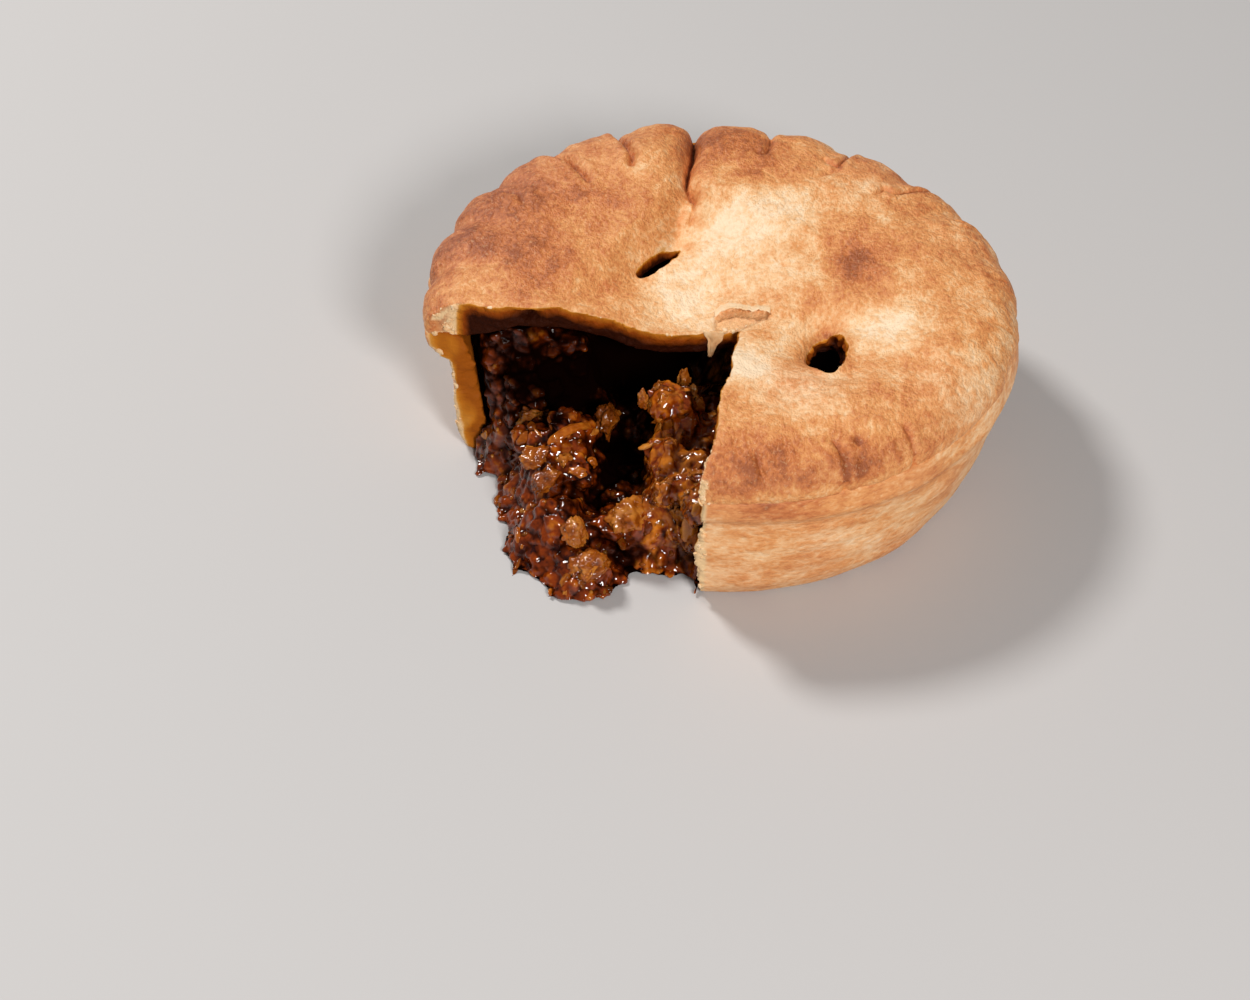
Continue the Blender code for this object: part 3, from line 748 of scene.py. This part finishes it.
def make_filling_core(lid, case):
    core = copy_of_solid("steak_filling", "steak_heap")
    grow_skin(core, FILLING_VOXEL)
    soften(core, FILLING_SMOOTHING, np.ones(len(core.data.vertices)))
    points = points_of(core)
    thin_out(core, outside_cut(points[:, 0], points[:, 1]) > HIDDEN_BEYOND, FILLING_KEPT)
    points = points_of(core)
    normals = normals_of(core)
    gap = outside_cut(points[:, 0], points[:, 1])
    shown = 1.0 - smoothstep(0.0030, 0.0070, gap)

    # Lumps of steak and finer bits, drawn out into strands that hang down at the right of the cut
    strands = smoothstep(-0.016, -0.011, points[:, 0])
    drawn_out = points.copy()
    drawn_out[:, 2] *= 1.0 - 0.45 * strands
    lumps, lump_gap, lump_tone = pebbles(drawn_out, 0.0040, 21)
    bits, bit_gap, bit_tone = pebbles(drawn_out, 0.0019, 25)
    fibres = noise_at(points, 0.0013, 23, (1.0, 1.0, 0.35))
    push = 0.0009 * (lumps - 0.6) + 0.00060 * (bits - 0.6) + 0.00045 * noise_at(points, 0.0030, 22)
    push += (0.00010 + 0.00030 * strands) * fibres
    points += (shown * push)[:, None] * normals
    keep_above_floor(points)
    move_points(core, points)
    soften(core, 1, 0.6 * np.ones(len(points)))

    # What the material reads: painted light, low as painted shade in crevices and under the lid, and how
    # light each lump is
    points = points_of(core)
    normals = normals_of(core)
    near = np.flatnonzero(gap < 0.0120)
    free = np.zeros(len(points))
    free[near] = openness(points[near], normals[near], tree_of((lid, case, core)), 0.0140, 20)
    # Painted shade at the listed places, and painted light where the amount is below 0
    for dark_x, dark_y, dark_z, reach, amount in PAINTED_SHADE_PLACES:
        away = np.linalg.norm(points / MM - np.array([dark_x, dark_y, dark_z]), axis=1)
        free *= 1.0 - amount * bell(away, reach)
    # Painted shade in the gaps between lumps and between bits
    free *= (0.40 + 0.60 * lump_gap) * (0.65 + 0.35 * bit_gap)
    write_mask(core, "open", free)
    # Each lump's own tone, with the tops of the lumps and bits painted lighter as painted light
    tone = 0.26 * strands + 0.20 * lump_tone + 0.20 * bit_tone + 0.18 * (lumps + bits)
    write_mask(core, "tone", tone + 0.10 * fibres)
    return core


class Sites:
    """Places on the filling's skin that show, to put small pieces on."""

    def __init__(self, core):
        points = points_of(core)
        corners = triangles_of(core)
        self.place = points[corners].mean(axis=1)
        edges = points[corners[:, 1:]] - points[corners[:, :1]]
        self.area = 0.5 * np.linalg.norm(np.cross(edges[:, 0], edges[:, 1]), axis=1)
        self.normal = unit(normals_of(core)[corners].mean(axis=1))
        # The painted light of each place, which the pieces put there take over
        self.open = mask_of(core, "open")[corners].mean(axis=1)
        self.gap = outside_cut(self.place[:, 0], self.place[:, 1])

    def pick(self, draw, count, weight):
        chance = self.area * weight
        return draw.choice(len(chance), size=count, p=chance / chance.sum(), replace=True)

    def nearest(self, place):
        return int(np.argmin(np.linalg.norm(self.place - np.array(place), axis=1)))


def template(name, build):
    """The points and triangles of a small shape that bpy.ops makes; the shape itself is removed."""
    deselect()
    build()
    obj = bpy.context.active_object
    obj.name = name
    points = points_of(obj)
    corners = triangles_of(obj)
    mesh = obj.data
    bpy.data.objects.remove(obj)
    bpy.data.meshes.remove(mesh)
    return points, corners


def ball_template(subdivisions):
    add = bpy.ops.mesh.primitive_ico_sphere_add
    return template("ball", lambda: add(subdivisions=subdivisions, radius=1.0))


def strand_template():
    """A ball made of rings. Its points come in an order that varies, so they are put in a fixed one."""
    add = bpy.ops.mesh.primitive_uv_sphere_add
    points, corners = template("strand", lambda: add(segments=10, ring_count=12, radius=1.0))
    order = np.lexsort(np.round(points, 5).T)
    corners = np.argsort(order)[corners]
    corners = np.array([np.roll(corner, -corner.argmin()) for corner in corners])
    return points[order], corners[np.lexsort(corners.T)]


def frame_on(normal, turn):
    """Two directions along the surface and the one that leaves it. turn picks the first in the surface."""
    normal = normal / np.linalg.norm(normal)
    other_axis = np.array([0.0, 0.0, 1.0]) if abs(normal[2]) < 0.9 else np.array([0.0, 1.0, 0.0])
    side = np.cross(normal, other_axis)
    side /= np.linalg.norm(side)
    other = np.cross(normal, side)
    first = math.cos(turn) * side + math.sin(turn) * other
    return np.stack([first, np.cross(normal, first), normal])


class Heap:
    """Collects small pieces, each with two numbers for its material, then makes one mesh of them all."""

    def __init__(self):
        self.points = []
        self.corners = []
        self.first = []
        self.second = []
        self.count = 0

    def add(self, points, corners, first, second):
        self.points.append(points)
        self.corners.append(corners + self.count)
        self.first.append(np.broadcast_to(first, len(points)))
        self.second.append(np.broadcast_to(second, len(points)))
        self.count += len(points)

    def finish(self, name, masks=("open", "tone")):
        points = np.concatenate(self.points)
        keep_above_floor(points)
        mesh = bpy.data.meshes.new(name)
        mesh.from_pydata(points.tolist(), [], np.concatenate(self.corners).tolist())
        obj = bpy.data.objects.new(name, mesh)
        put_in_scene(obj)
        take(obj)
        bpy.ops.object.shade_smooth()
        write_mask(obj, masks[0], np.concatenate(self.first))
        write_mask(obj, masks[1], np.concatenate(self.second))
        return obj


def paint_shade_at_feet(obj, skins):
    """Paints shade on pieces where they go into the filling or lean on each other."""
    free = openness(points_of(obj), normals_of(obj), tree_of((*skins, obj)), 0.0050, 14)
    write_mask(obj, "open", mask_of(obj, "open") * (0.15 + 0.85 * smoothstep(0.15, 0.85, free)))
    return obj


def uneven(points, size, amount, seed, stretch=(1.0, 1.0, 1.0)):
    """Presses dents into a shape round the origin."""
    return points * (1.0 + amount * noise_at(points, size, seed, stretch))[:, None]


def press_flats(shape, draw, nearest, furthest, share):
    """A copy of a ball with six flat places pressed into it."""
    shape = shape.copy()
    for flat in unit(draw.normal(size=(6, 3))):
        over = np.maximum(shape @ flat - draw.uniform(nearest, furthest), 0.0)
        shape -= share * over[:, None] * flat
    return shape


def turned_by(turn, tip):
    """A turn about the upright axis, after a tip about the level one."""
    return np.array(Matrix.Rotation(turn, 3, "Z") @ Matrix.Rotation(tip, 3, "Y")).T


def make_shreds(sites):
    """Torn strands of beef: thin, ridged along their length and a little bent."""
    draw = np.random.default_rng(41)
    ball, corners = strand_template()
    heap = Heap()
    right_mass = bell(sites.place[:, 0] + 0.006, 0.009) * smoothstep(0.002, 0.008, sites.place[:, 2])
    weight = (sites.gap < 0.0010) * smoothstep(0.15, 0.45, sites.open) * (0.20 + 1.6 * right_mass)
    for site in sites.pick(draw, SHREDS, weight):
        half_length = draw.uniform(0.0007, 0.0017)
        half_width = draw.uniform(0.00022, 0.00042)
        shape = ball[:, [2, 0, 1]].copy()
        ridges = 1.0 + 0.30 * np.sin(3.0 * np.arctan2(shape[:, 2], shape[:, 1]) + 2.0 * shape[:, 0])
        shape[:, 1:] *= ridges[:, None]
        shape = uneven(shape, 0.9, 0.5, draw.uniform(0.0, 90.0))
        shape *= np.array([half_length, half_width * draw.uniform(1.0, 2.0), half_width])
        bend = draw.uniform(-0.20, 0.32) / half_length
        shape[:, 2] -= bend * shape[:, 0] ** 2
        shape[:, 1] += draw.uniform(-0.5, 0.5) * bend * shape[:, 0] ** 2
        upright = abs(sites.normal[site][2]) < 0.75
        turn = draw.normal(math.pi / 2.0, 0.5) if upright else draw.uniform(0.0, math.pi)
        axes = frame_on(sites.normal[site], turn)
        tip = draw.uniform(-0.07, 0.07)
        axes[0] = axes[0] * math.cos(tip) + axes[2] * math.sin(tip)
        axes[2] = np.cross(axes[0], axes[1])
        place = sites.place[site] + sites.normal[site] * draw.uniform(-0.9, -0.2) * half_width
        heap.add(place + shape @ axes, corners, sites.open[site], draw.uniform(0.25, 0.80))
    return heap.finish("beef_shreds")


def make_grains(sites):
    """Small bits of meat and onion in the gravy."""
    draw = np.random.default_rng(51)
    ball, corners = ball_template(1)
    heap = Heap()
    weight = (sites.gap < 0.0030) * smoothstep(0.05, 0.35, sites.open)
    for site in sites.pick(draw, GRAINS, weight):
        size = draw.uniform(0.00022, 0.00050)
        shape = ball * (1.0 + 0.3 * draw.uniform(-1.0, 1.0, size=(len(ball), 1)))
        shape = shape * size * np.array([draw.uniform(0.9, 1.7), 1.0, draw.uniform(0.6, 1.0)])
        axes = frame_on(sites.normal[site], draw.uniform(0.0, math.tau))
        place = sites.place[site] + sites.normal[site] * 0.2 * size
        heap.add(place + shape @ axes, corners, sites.open[site], draw.uniform(0.15, 0.70))
    return heap.finish("gravy_grains")


# Chunks of steak placed one by one: middle and half sizes in millimetres, turn, and how light
CHUNKS = (
    ((-15.2, -37.5, 8.3), (4.6, 3.2, 3.4), 0.5, 0.58),
    ((-20.6, -17.5, 13.5), (3.4, 2.4, 3.6), 1.2, 0.40),
    ((-33.5, -16.0, 13.0), (3.0, 2.4, 2.4), 0.2, 0.55),
    ((-22.0, -47.0, 4.5), (4.2, 3.0, 3.0), 0.9, 0.50),
    ((-25.5, -42.5, 8.0), (3.0, 2.4, 2.4), 2.0, 0.55),
    ((-31.0, -32.0, 11.6), (2.8, 2.2, 2.0), 0.4, 0.40),
    ((-5.5, -21.0, 21.5), (3.0, 2.6, 3.4), 1.7, 0.60),
    ((-9.0, -30.0, 15.0), (3.2, 2.8, 3.0), 0.9, 0.55),
    ((-5.0, -40.0, 11.0), (2.6, 2.4, 4.0), 0.1, 0.60),
    ((-33.2, -28.2, 13.4), (2.7, 2.0, 2.1), 0.3, 0.55),
    ((-27.6, -28.6, 13.0), (1.7, 1.5, 1.7), 0.7, 0.65),
    ((-6.5, -18.8, 25.0), (1.3, 1.3, 2.6), 0.4, 0.60),
    ((-13.8, -23.5, 24.0), (1.0, 1.0, 2.2), 0.2, 0.60),
)


def make_chunks(sites):
    """Chunks of steak with flat torn sides and the grain of the meat running along them."""
    draw = np.random.default_rng(61)
    ball, corners = ball_template(5)
    heap = Heap()
    for place, sizes, turn, tone in CHUNKS:
        place = np.array(place) * MM
        seed = draw.uniform(0.0, 90.0)
        shape = press_flats(ball, draw, 0.62, 0.85, 0.60)
        shape = uneven(shape, 0.70, 0.38, seed)
        shape = uneven(shape, 0.30, 0.14, seed + 1.0)
        shape = uneven(shape, 0.45, 0.10, seed, (1.0, 4.0, 4.0))
        shape = uneven(shape, 0.22, 0.06, seed + 3.0, (2.0, 5.0, 5.0))
        shape = shape * np.array(sizes) * MM
        shape = shape @ turned_by(turn, draw.uniform(-0.5, 0.5)) + place
        # Each chunk takes the painted shade of the filling beside it
        free = 0.35 + 0.65 * sites.open[sites.nearest(place)]
        heap.add(shape, corners, free, tone + 0.30 * noise_at(shape, 0.0018, seed))
    return heap.finish("steak_chunks")


# Melted cheese placed one by one: middle and half sizes in millimetres, turn, tip, bend, and how light
CHEESE = (
    ((-26.8, -23.8, 16.6), (5.6, 1.4, 1.1), 0.70, -0.12, 0.05, 0.50),
    ((-22.6, -28.4, 13.0), (1.0, 0.9, 1.2), 0.2, 0.0, 0.0, 0.45),
    ((-25.4, -31.5, 13.0), (1.9, 1.2, 1.0), 0.1, 0.0, 0.0, 0.50),
    ((-4.6, -43.6, 10.5), (1.8, 1.2, 4.8), 0.1, 0.0, 0.0, 0.75),
    ((-26.0, -43.5, 8.6), (1.6, 0.9, 0.8), 0.3, 0.5, 0.10, 0.45),
    ((-21.5, -49.0, 5.6), (2.4, 0.8, 0.7), 0.9, 0.4, 0.10, 0.70),
)


def make_cheese(sites):
    """Smooth glossy bits of melted cheese."""
    draw = np.random.default_rng(71)
    ball, corners = ball_template(4)
    heap = Heap()
    for place, sizes, turn, tip, bend, tone in CHEESE:
        shape = press_flats(ball, draw, 0.55, 0.8, 0.8)
        shape = uneven(shape, 0.6, 0.30, draw.uniform(0.0, 90.0)) * np.array(sizes) * MM
        shape[:, 2] -= bend / MM * shape[:, 0] ** 2
        heap.add(shape @ turned_by(turn, -tip) + np.array(place) * MM, corners, 1.0, tone)
    small, small_corners = ball_template(3)
    weight = (sites.gap < -0.0010) * smoothstep(0.30, 0.55, sites.open)
    for site in sites.pick(draw, CHEESE_BITS, weight):
        size = draw.uniform(0.0005, 0.0011)
        shape = uneven(small, 0.8, 0.30, draw.uniform(0.0, 90.0)) * size
        shape = shape * np.array([draw.uniform(1.0, 2.2), 1.0, draw.uniform(0.5, 0.9)])
        axes = frame_on(sites.normal[site], draw.uniform(0.0, math.tau))
        heap.add(sites.place[site] + shape @ axes, small_corners, sites.open[site], draw.uniform(0.1, 0.6))
    return heap.finish("melted_cheese")


# ---------------------------------------------------------------- flakes and crumbs


def top_of(tree, x, y):
    hit = seen_from_above(tree, x, y)
    return hit.z if hit else LID_LEVEL


def make_sheet(name, columns, rows, place_of):
    """A thin uneven sheet. place_of turns shares along and across it into a place."""
    deselect()
    bpy.ops.mesh.primitive_grid_add(x_subdivisions=columns, y_subdivisions=rows, size=2.0)
    sheet = bpy.context.active_object
    sheet.name = name
    shares = 0.5 + 0.5 * points_of(sheet)
    move_points(sheet, np.array([place_of(along, across) for along, across, _ in shares.tolist()]))
    thick = sheet.modifiers.new("Thick", "SOLIDIFY")
    thick.thickness = FLAKE_THICKNESS
    thick.offset = -1.0
    apply_modifiers(sheet)
    bpy.ops.object.shade_smooth()
    return sheet


def make_lifted_flake(tree):
    """The flake that stands up along the edge of its hollow beside the apex."""
    edge_x, edge_y = np.array(FLAKE_EDGE).T * MM

    def place_of(along, across):
        x = edge_x[0] + along * (edge_x[-1] - edge_x[0])
        ragged = 0.00055 * noise.noise((along * 9.0, 0.0, 81.0))
        ragged = ragged + 0.0003 * noise.noise((along * 25.0, 0.0, 82.0))
        free_edge = np.interp(x, edge_x, edge_y) - 0.0005 + ragged
        y = free_edge + across * 0.0034
        ends = min(1.0, 5.0 * along, 5.0 * (1.0 - along))
        lift = (0.00075 + 0.0003 * noise.noise((along * 5.0, 0.0, 83.0))) * ends * (1.0 - across) ** 1.6
        return (x, y, top_of(tree, x, max(y, free_edge + 0.0012)) + lift + 0.00012 - 0.00040 * across ** 2)

    flake = make_sheet("lifted_flake", 60, 14, place_of)
    points = points_of(flake)
    write_mask(flake, "browning", 0.10 + 0.10 * noise_at(points, 0.0020, 84))
    write_mask(flake, "crumb", np.full(len(points), 0.30))
    return flake


def make_hanging_flake():
    """A pale pointed shred of the lid's top layer that hangs into the cut."""

    def place_of(along, across):
        half = 0.0023 * (1.0 - 0.88 * across ** 0.7)
        sway = 0.0008 * across ** 2 + 0.0003 * noise.noise((across * 4.0, along, 85.0))
        x = -0.0012 - sway + (2.0 * along - 1.0) * half
        y = -0.0118 - 0.0009 * across - 0.0004 * noise.noise((along * 3.0, across * 3.0, 86.0))
        return (x, y, 0.0312 - 0.0052 * across + 0.0003 * noise.noise((along * 5.0, across, 87.0)))

    flake = make_sheet("hanging_flake", 12, 20, place_of)
    points = points_of(flake)
    write_mask(flake, "browning", 0.38 + 0.12 * noise_at(points, 0.0015, 88))
    write_mask(flake, "crumb", np.full(len(points), 0.4))
    return flake


def make_crumbs(lid, case):
    """Crumbs of torn dough along the edges of the cut."""
    draw = np.random.default_rng(91)
    ball, corners = ball_template(2)
    heap = Heap()
    for skin, count, lowest in ((lid, LID_CRUMBS, 0.0262), (case, CASE_CRUMBS, 0.0010)):
        points = points_of(skin)
        normals = normals_of(skin)
        torn = mask_of(skin, "crumb").astype(float)
        at_cut = outside_cut(points[:, 0], points[:, 1]) < 0.0022
        weight = torn * (mask_of(skin, "stain_and_shade") < 0.10) * at_cut * (points[:, 2] > lowest)
        for index in draw.choice(len(points), size=count, p=weight / weight.sum()):
            size = 0.00014 + 0.00042 * draw.uniform(0.0, 1.0) ** 2.5
            shape = uneven(ball, 0.9, 0.5, draw.uniform(0.0, 90.0)) * size
            shape = shape * np.array([draw.uniform(0.9, 1.8), 1.0, draw.uniform(0.35, 0.8)])
            axes = frame_on(normals[index], draw.uniform(0.0, math.tau))
            heap.add(points[index] + shape @ axes, corners, draw.uniform(0.0, 0.35), draw.uniform(0.3, 1.0))
    return heap.finish("pastry_crumbs", ("browning", "crumb"))


# ---------------------------------------------------------------- materials


def feed(tree, socket, value):
    """Links a node's output to a socket, or gives the socket a plain value."""
    if isinstance(value, bpy.types.NodeSocket):
        tree.links.new(value, socket)
    elif socket.type == "RGBA":
        socket.default_value = (*value, 1.0)
    else:
        socket.default_value = value


def node_of(tree, kind, **sockets):
    """Adds a shader node and feeds the sockets that are named, spaces written as underscores."""
    made = tree.nodes.new(kind)
    for name, value in sockets.items():
        feed(tree, made.inputs[name.replace("_", " ")], value)
    return made


def new_material(name, roughness):
    made = bpy.data.materials.new(name)
    made.use_nodes = True
    shader = made.node_tree.nodes["Principled BSDF"]
    shader.inputs["Roughness"].default_value = roughness
    shader.inputs["Metallic"].default_value = 0.0
    return made, made.node_tree, shader


def maths(tree, operation, *values):
    """A maths node of links and plain numbers."""
    made = tree.nodes.new("ShaderNodeMath")
    made.operation = operation
    for socket, value in zip(made.inputs, values):
        feed(tree, socket, value)
    return made.outputs[0]


def smooth_range(tree, value, low, high):
    """A mask that goes smoothly from 0 to 1 as the value goes from low to high."""
    made = tree.nodes.new("ShaderNodeMapRange")
    made.interpolation_type = "SMOOTHSTEP"
    for name, given in (("From Min", low), ("From Max", high), ("Value", value)):
        feed(tree, made.inputs[name], given)
    return made.outputs["Result"]


def cloud_at(tree, place, scale, detail, roughness):
    """A cloudy pattern that goes from 0 to 1 about a middle of 0.5."""
    made = node_of(tree, "ShaderNodeTexNoise", Scale=scale, Detail=detail, Roughness=roughness)
    feed(tree, made.inputs["Vector"], place)
    return made.outputs["Fac"]


def colour_ramp(tree, value, stops):
    ramp = node_of(tree, "ShaderNodeValToRGB", Fac=value)
    elements = ramp.color_ramp.elements
    while len(elements) < len(stops):
        elements.new(0.5)
    for element, (position, colour) in zip(elements, stops):
        element.position = position
        element.color = (*colour, 1.0)
    return ramp.outputs["Color"]


def new_group(name, takes, gives):
    """An empty shader group. takes and gives name its number inputs, besides Vector, and its outputs."""
    group = bpy.data.node_groups.new(name, "ShaderNodeTree")
    group.interface.new_socket("Vector", in_out="INPUT", socket_type="NodeSocketVector")
    for side, names in (("INPUT", takes), ("OUTPUT", gives)):
        for socket in names:
            group.interface.new_socket(socket, in_out=side, socket_type="NodeSocketFloat")
    return group, group.nodes.new("NodeGroupInput").outputs, group.nodes.new("NodeGroupOutput").inputs


def use_group(tree, group, **sockets):
    """Places a group in a material and feeds its inputs."""
    made = tree.nodes.new("ShaderNodeGroup")
    made.node_tree = group
    for name, value in sockets.items():
        feed(tree, made.inputs[name], value)
    return made.outputs


def give_bump(tree, shader, height, depth):
    bump = node_of(tree, "ShaderNodeBump", Strength=0.6, Distance=depth, Height=height)
    tree.links.new(bump.outputs["Normal"], shader.inputs["Normal"])


def baked_dough_group():
    """Mottled browning for baked dough: a mask for the colour, pale flecks, and a height for the bump."""
    group, entry, leave = new_group("baked_dough", ("Browning",), ("Shade", "Flecks", "Height"))
    shade = entry["Browning"]
    height = 0.0
    for scale, detail, weight, rise in DOUGH_CLOUDS:
        cloud = cloud_at(group, entry["Vector"], scale, detail, 0.6)
        centred = maths(group, "SUBTRACT", cloud, 0.5)
        shade = maths(group, "MULTIPLY_ADD", centred, weight, shade)
        height = maths(group, "MULTIPLY_ADD", centred, rise, height)
    fleck = cloud_at(group, entry["Vector"], 1900.0, 1.0, 0.5)
    group.links.new(shade, leave["Shade"])
    group.links.new(smooth_range(group, fleck, 0.60, 0.72), leave["Flecks"])
    group.links.new(height, leave["Height"])
    return group


def read_mask(tree, name):
    mask = tree.nodes.new("ShaderNodeAttribute")
    mask.attribute_name = name
    return mask.outputs["Fac"]


def mix_colour(tree, factor, first, second):
    mix = tree.nodes.new("ShaderNodeMix")
    mix.data_type = "RGBA"
    feed(tree, mix.inputs["Factor"], factor)
    feed(tree, mix.inputs[6], first)
    feed(tree, mix.inputs[7], second)
    return mix.outputs[2]


def crust_material(name, group, stretch, bump_depth):
    """Baked dough: browned outside, creamy where it is torn, and soaked with gravy inside, with painted
    shade in the gap under the lid's lifted edge.
    """
    made, tree, shader = new_material(name, CRUST_ROUGHNESS)
    place = tree.nodes.new("ShaderNodeTexCoord").outputs["Object"]
    mapping = node_of(tree, "ShaderNodeMapping", Vector=place, Scale=stretch)
    browning = read_mask(tree, "browning")
    dough = use_group(tree, group, Vector=mapping.outputs["Vector"], Browning=browning)
    golden = colour_ramp(tree, dough["Shade"], GOLDEN_CRUST)
    pinkish = colour_ramp(tree, dough["Shade"], PINKISH_CRUST)
    baked = mix_colour(tree, maths(tree, "MULTIPLY", read_mask(tree, "blush"), 0.6), golden, pinkish)
    flecked = mix_colour(tree, maths(tree, "MULTIPLY", dough["Flecks"], 0.2), baked, FLECK_COLOUR)
    crumb = mix_colour(tree, read_mask(tree, "crumb"), flecked, CRUMB_COLOUR)
    stain_and_shade = read_mask(tree, "stain_and_shade")
    soaked_and_shaded = colour_ramp(tree, stain_and_shade, SOAKED_DOUGH_AND_GAP_SHADE)
    reach = smooth_range(tree, stain_and_shade, 0.02, 0.16)
    shine = maths(tree, "MULTIPLY_ADD", reach, SOAKED_SHINE - DRY_SHINE, DRY_SHINE)
    feed(tree, shader.inputs["Specular IOR Level"], shine)
    feed(tree, shader.inputs["Base Color"], mix_colour(tree, reach, crumb, soaked_and_shaded))
    give_bump(tree, shader, dough["Height"], bump_depth)
    return made


def gravy_group():
    """Colour and bump for what lies in gravy: painted shade darkens it in crevices and under the lid, and
    it is lighter where a piece's tone is high.
    """
    group, entry, leave = new_group("in_gravy", ("Open", "Tone"), ("Shade", "Light", "Height"))
    coarse = cloud_at(group, entry["Vector"], 520.0, 1.0, 0.5)
    fine = cloud_at(group, entry["Vector"], 1100.0, 1.0, 0.5)
    shade = maths(group, "MULTIPLY_ADD", maths(group, "ADD", coarse, fine), 0.5, entry["Tone"])
    group.links.new(maths(group, "SUBTRACT", shade, 0.5), leave["Shade"])
    group.links.new(smooth_range(group, entry["Open"], 0.06, 0.62), leave["Light"])
    group.links.new(maths(group, "MULTIPLY_ADD", fine, 0.30, coarse), leave["Height"])
    return group


def gravy_material(name, group, colours, bump_depth):
    """Something wet with gravy. colours run from its darkest tone to its lightest, and painted shade turns
    it dark where little light reaches.
    """
    made, tree, shader = new_material(name, WET_ROUGHNESS)
    place = tree.nodes.new("ShaderNodeTexCoord").outputs["Object"]
    light = read_mask(tree, "open")
    gravy = use_group(tree, group, Vector=place, Open=light, Tone=read_mask(tree, "tone"))
    # The gloss also fades with the painted shade
    shine = maths(tree, "MULTIPLY", smooth_range(tree, light, 0.10, 0.55), WET_SHINE)
    feed(tree, shader.inputs["Specular IOR Level"], shine)
    wet = colour_ramp(tree, gravy["Shade"], tuple(zip(TONES, colours)))
    # Painted shade: the wet colour turns to the crevice shade where the painted light is low
    feed(tree, shader.inputs["Base Color"], mix_colour(tree, gravy["Light"], PAINTED_CREVICE_SHADE, wet))
    give_bump(tree, shader, gravy["Height"], bump_depth)
    return made


# ---------------------------------------------------------------- the studio


def make_floor():
    deselect()
    bpy.ops.mesh.primitive_plane_add(size=3.0, location=(0.0, 0.0, 0.0))
    floor = bpy.context.active_object
    floor.name = "floor"
    made, _, shader = new_material("pale_floor", 0.6)
    shader.inputs["Base Color"].default_value = (*FLOOR_COLOUR, 1.0)
    floor.data.materials.append(made)


def add_light(name, place, size, power, colour):
    light = bpy.data.lights.new(name, "AREA")
    light.shape = "DISK"
    light.size = size
    light.energy = power
    light.color = colour
    lamp = bpy.data.objects.new(name, light)
    lamp.location = place
    lamp.rotation_euler = (CAMERA_AIM - Vector(place)).to_track_quat("-Z", "Y").to_euler()
    put_in_scene(lamp)


def light_studio():
    for lamp in LAMPS:
        add_light(*lamp)
    world = bpy.data.worlds.new("studio")
    world.use_nodes = True
    sky = world.node_tree.nodes["Background"].inputs
    sky["Color"].default_value = (*SKY_COLOUR, 1.0)
    sky["Strength"].default_value = SKY_STRENGTH
    bpy.context.scene.world = world
    bpy.context.scene.view_settings.view_transform = "Standard"


def place_camera():
    data = bpy.data.cameras.new("camera")
    data.lens = LENS_MM
    data.sensor_width = 36.0
    data.sensor_fit = "HORIZONTAL"
    data.clip_start = 0.01
    look = Vector((0.0, math.cos(CAMERA_ELEVATION), -math.sin(CAMERA_ELEVATION)))
    level = Vector((1.0, 0.0, 0.0))
    upwards = level.cross(look)
    right = math.cos(CAMERA_ROLL) * level + math.sin(CAMERA_ROLL) * upwards
    top = math.cos(CAMERA_ROLL) * upwards - math.sin(CAMERA_ROLL) * level
    camera = bpy.data.objects.new("camera", data)
    camera.matrix_world = Matrix((right, top, -look)).transposed().to_4x4()
    camera.location = CAMERA_AIM - CAMERA_DISTANCE * look
    put_in_scene(camera)
    bpy.context.scene.camera = camera


# ---------------------------------------------------------------- putting it together


def finish_piece(obj, material):
    obj.data.materials.clear()
    obj.data.materials.append(material)
    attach(obj, "root")


def main():
    place_camera()
    light_studio()
    make_floor()

    # The crust
    dough = baked_dough_group()
    lid = make_lid()
    golden_lid = crust_material("golden_lid", dough, stretch=(1.1, 0.8, 1.0), bump_depth=0.0008)
    finish_piece(lid, golden_lid)
    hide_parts("pastry_lid")
    case = make_case()
    pale_case = crust_material("pale_case", dough, stretch=(0.55, 0.55, 1.1), bump_depth=0.0004)
    finish_piece(case, pale_case)
    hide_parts("pastry_case")
    torn_dough = crust_material("torn_dough", dough, stretch=(1.0, 1.0, 1.0), bump_depth=0.0003)
    lid_tree = BVHTree.FromObject(lid, bpy.context.evaluated_depsgraph_get())
    finish_piece(make_lifted_flake(lid_tree), torn_dough)
    finish_piece(make_hanging_flake(), torn_dough)
    finish_piece(make_crumbs(lid, case), torn_dough)

    # The filling
    core = make_filling_core(lid, case)
    gravy = gravy_group()
    steak_in_gravy = gravy_material("steak_in_gravy", gravy, GRAVY_COLOURS, bump_depth=0.0005)
    finish_piece(core, steak_in_gravy)
    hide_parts("steak_filling")
    sites = Sites(core)
    torn_beef = gravy_material("torn_beef", gravy, BEEF_COLOURS, bump_depth=0.0005)
    finish_piece(make_shreds(sites), torn_beef)
    finish_piece(make_grains(sites), torn_beef)
    skins = (lid, case, core)
    finish_piece(paint_shade_at_feet(make_chunks(sites), skins), torn_beef)
    melted_cheese = gravy_material("melted_cheese", gravy, CHEESE_COLOURS, bump_depth=0.0003)
    finish_piece(paint_shade_at_feet(make_cheese(sites), skins), melted_cheese)


main()
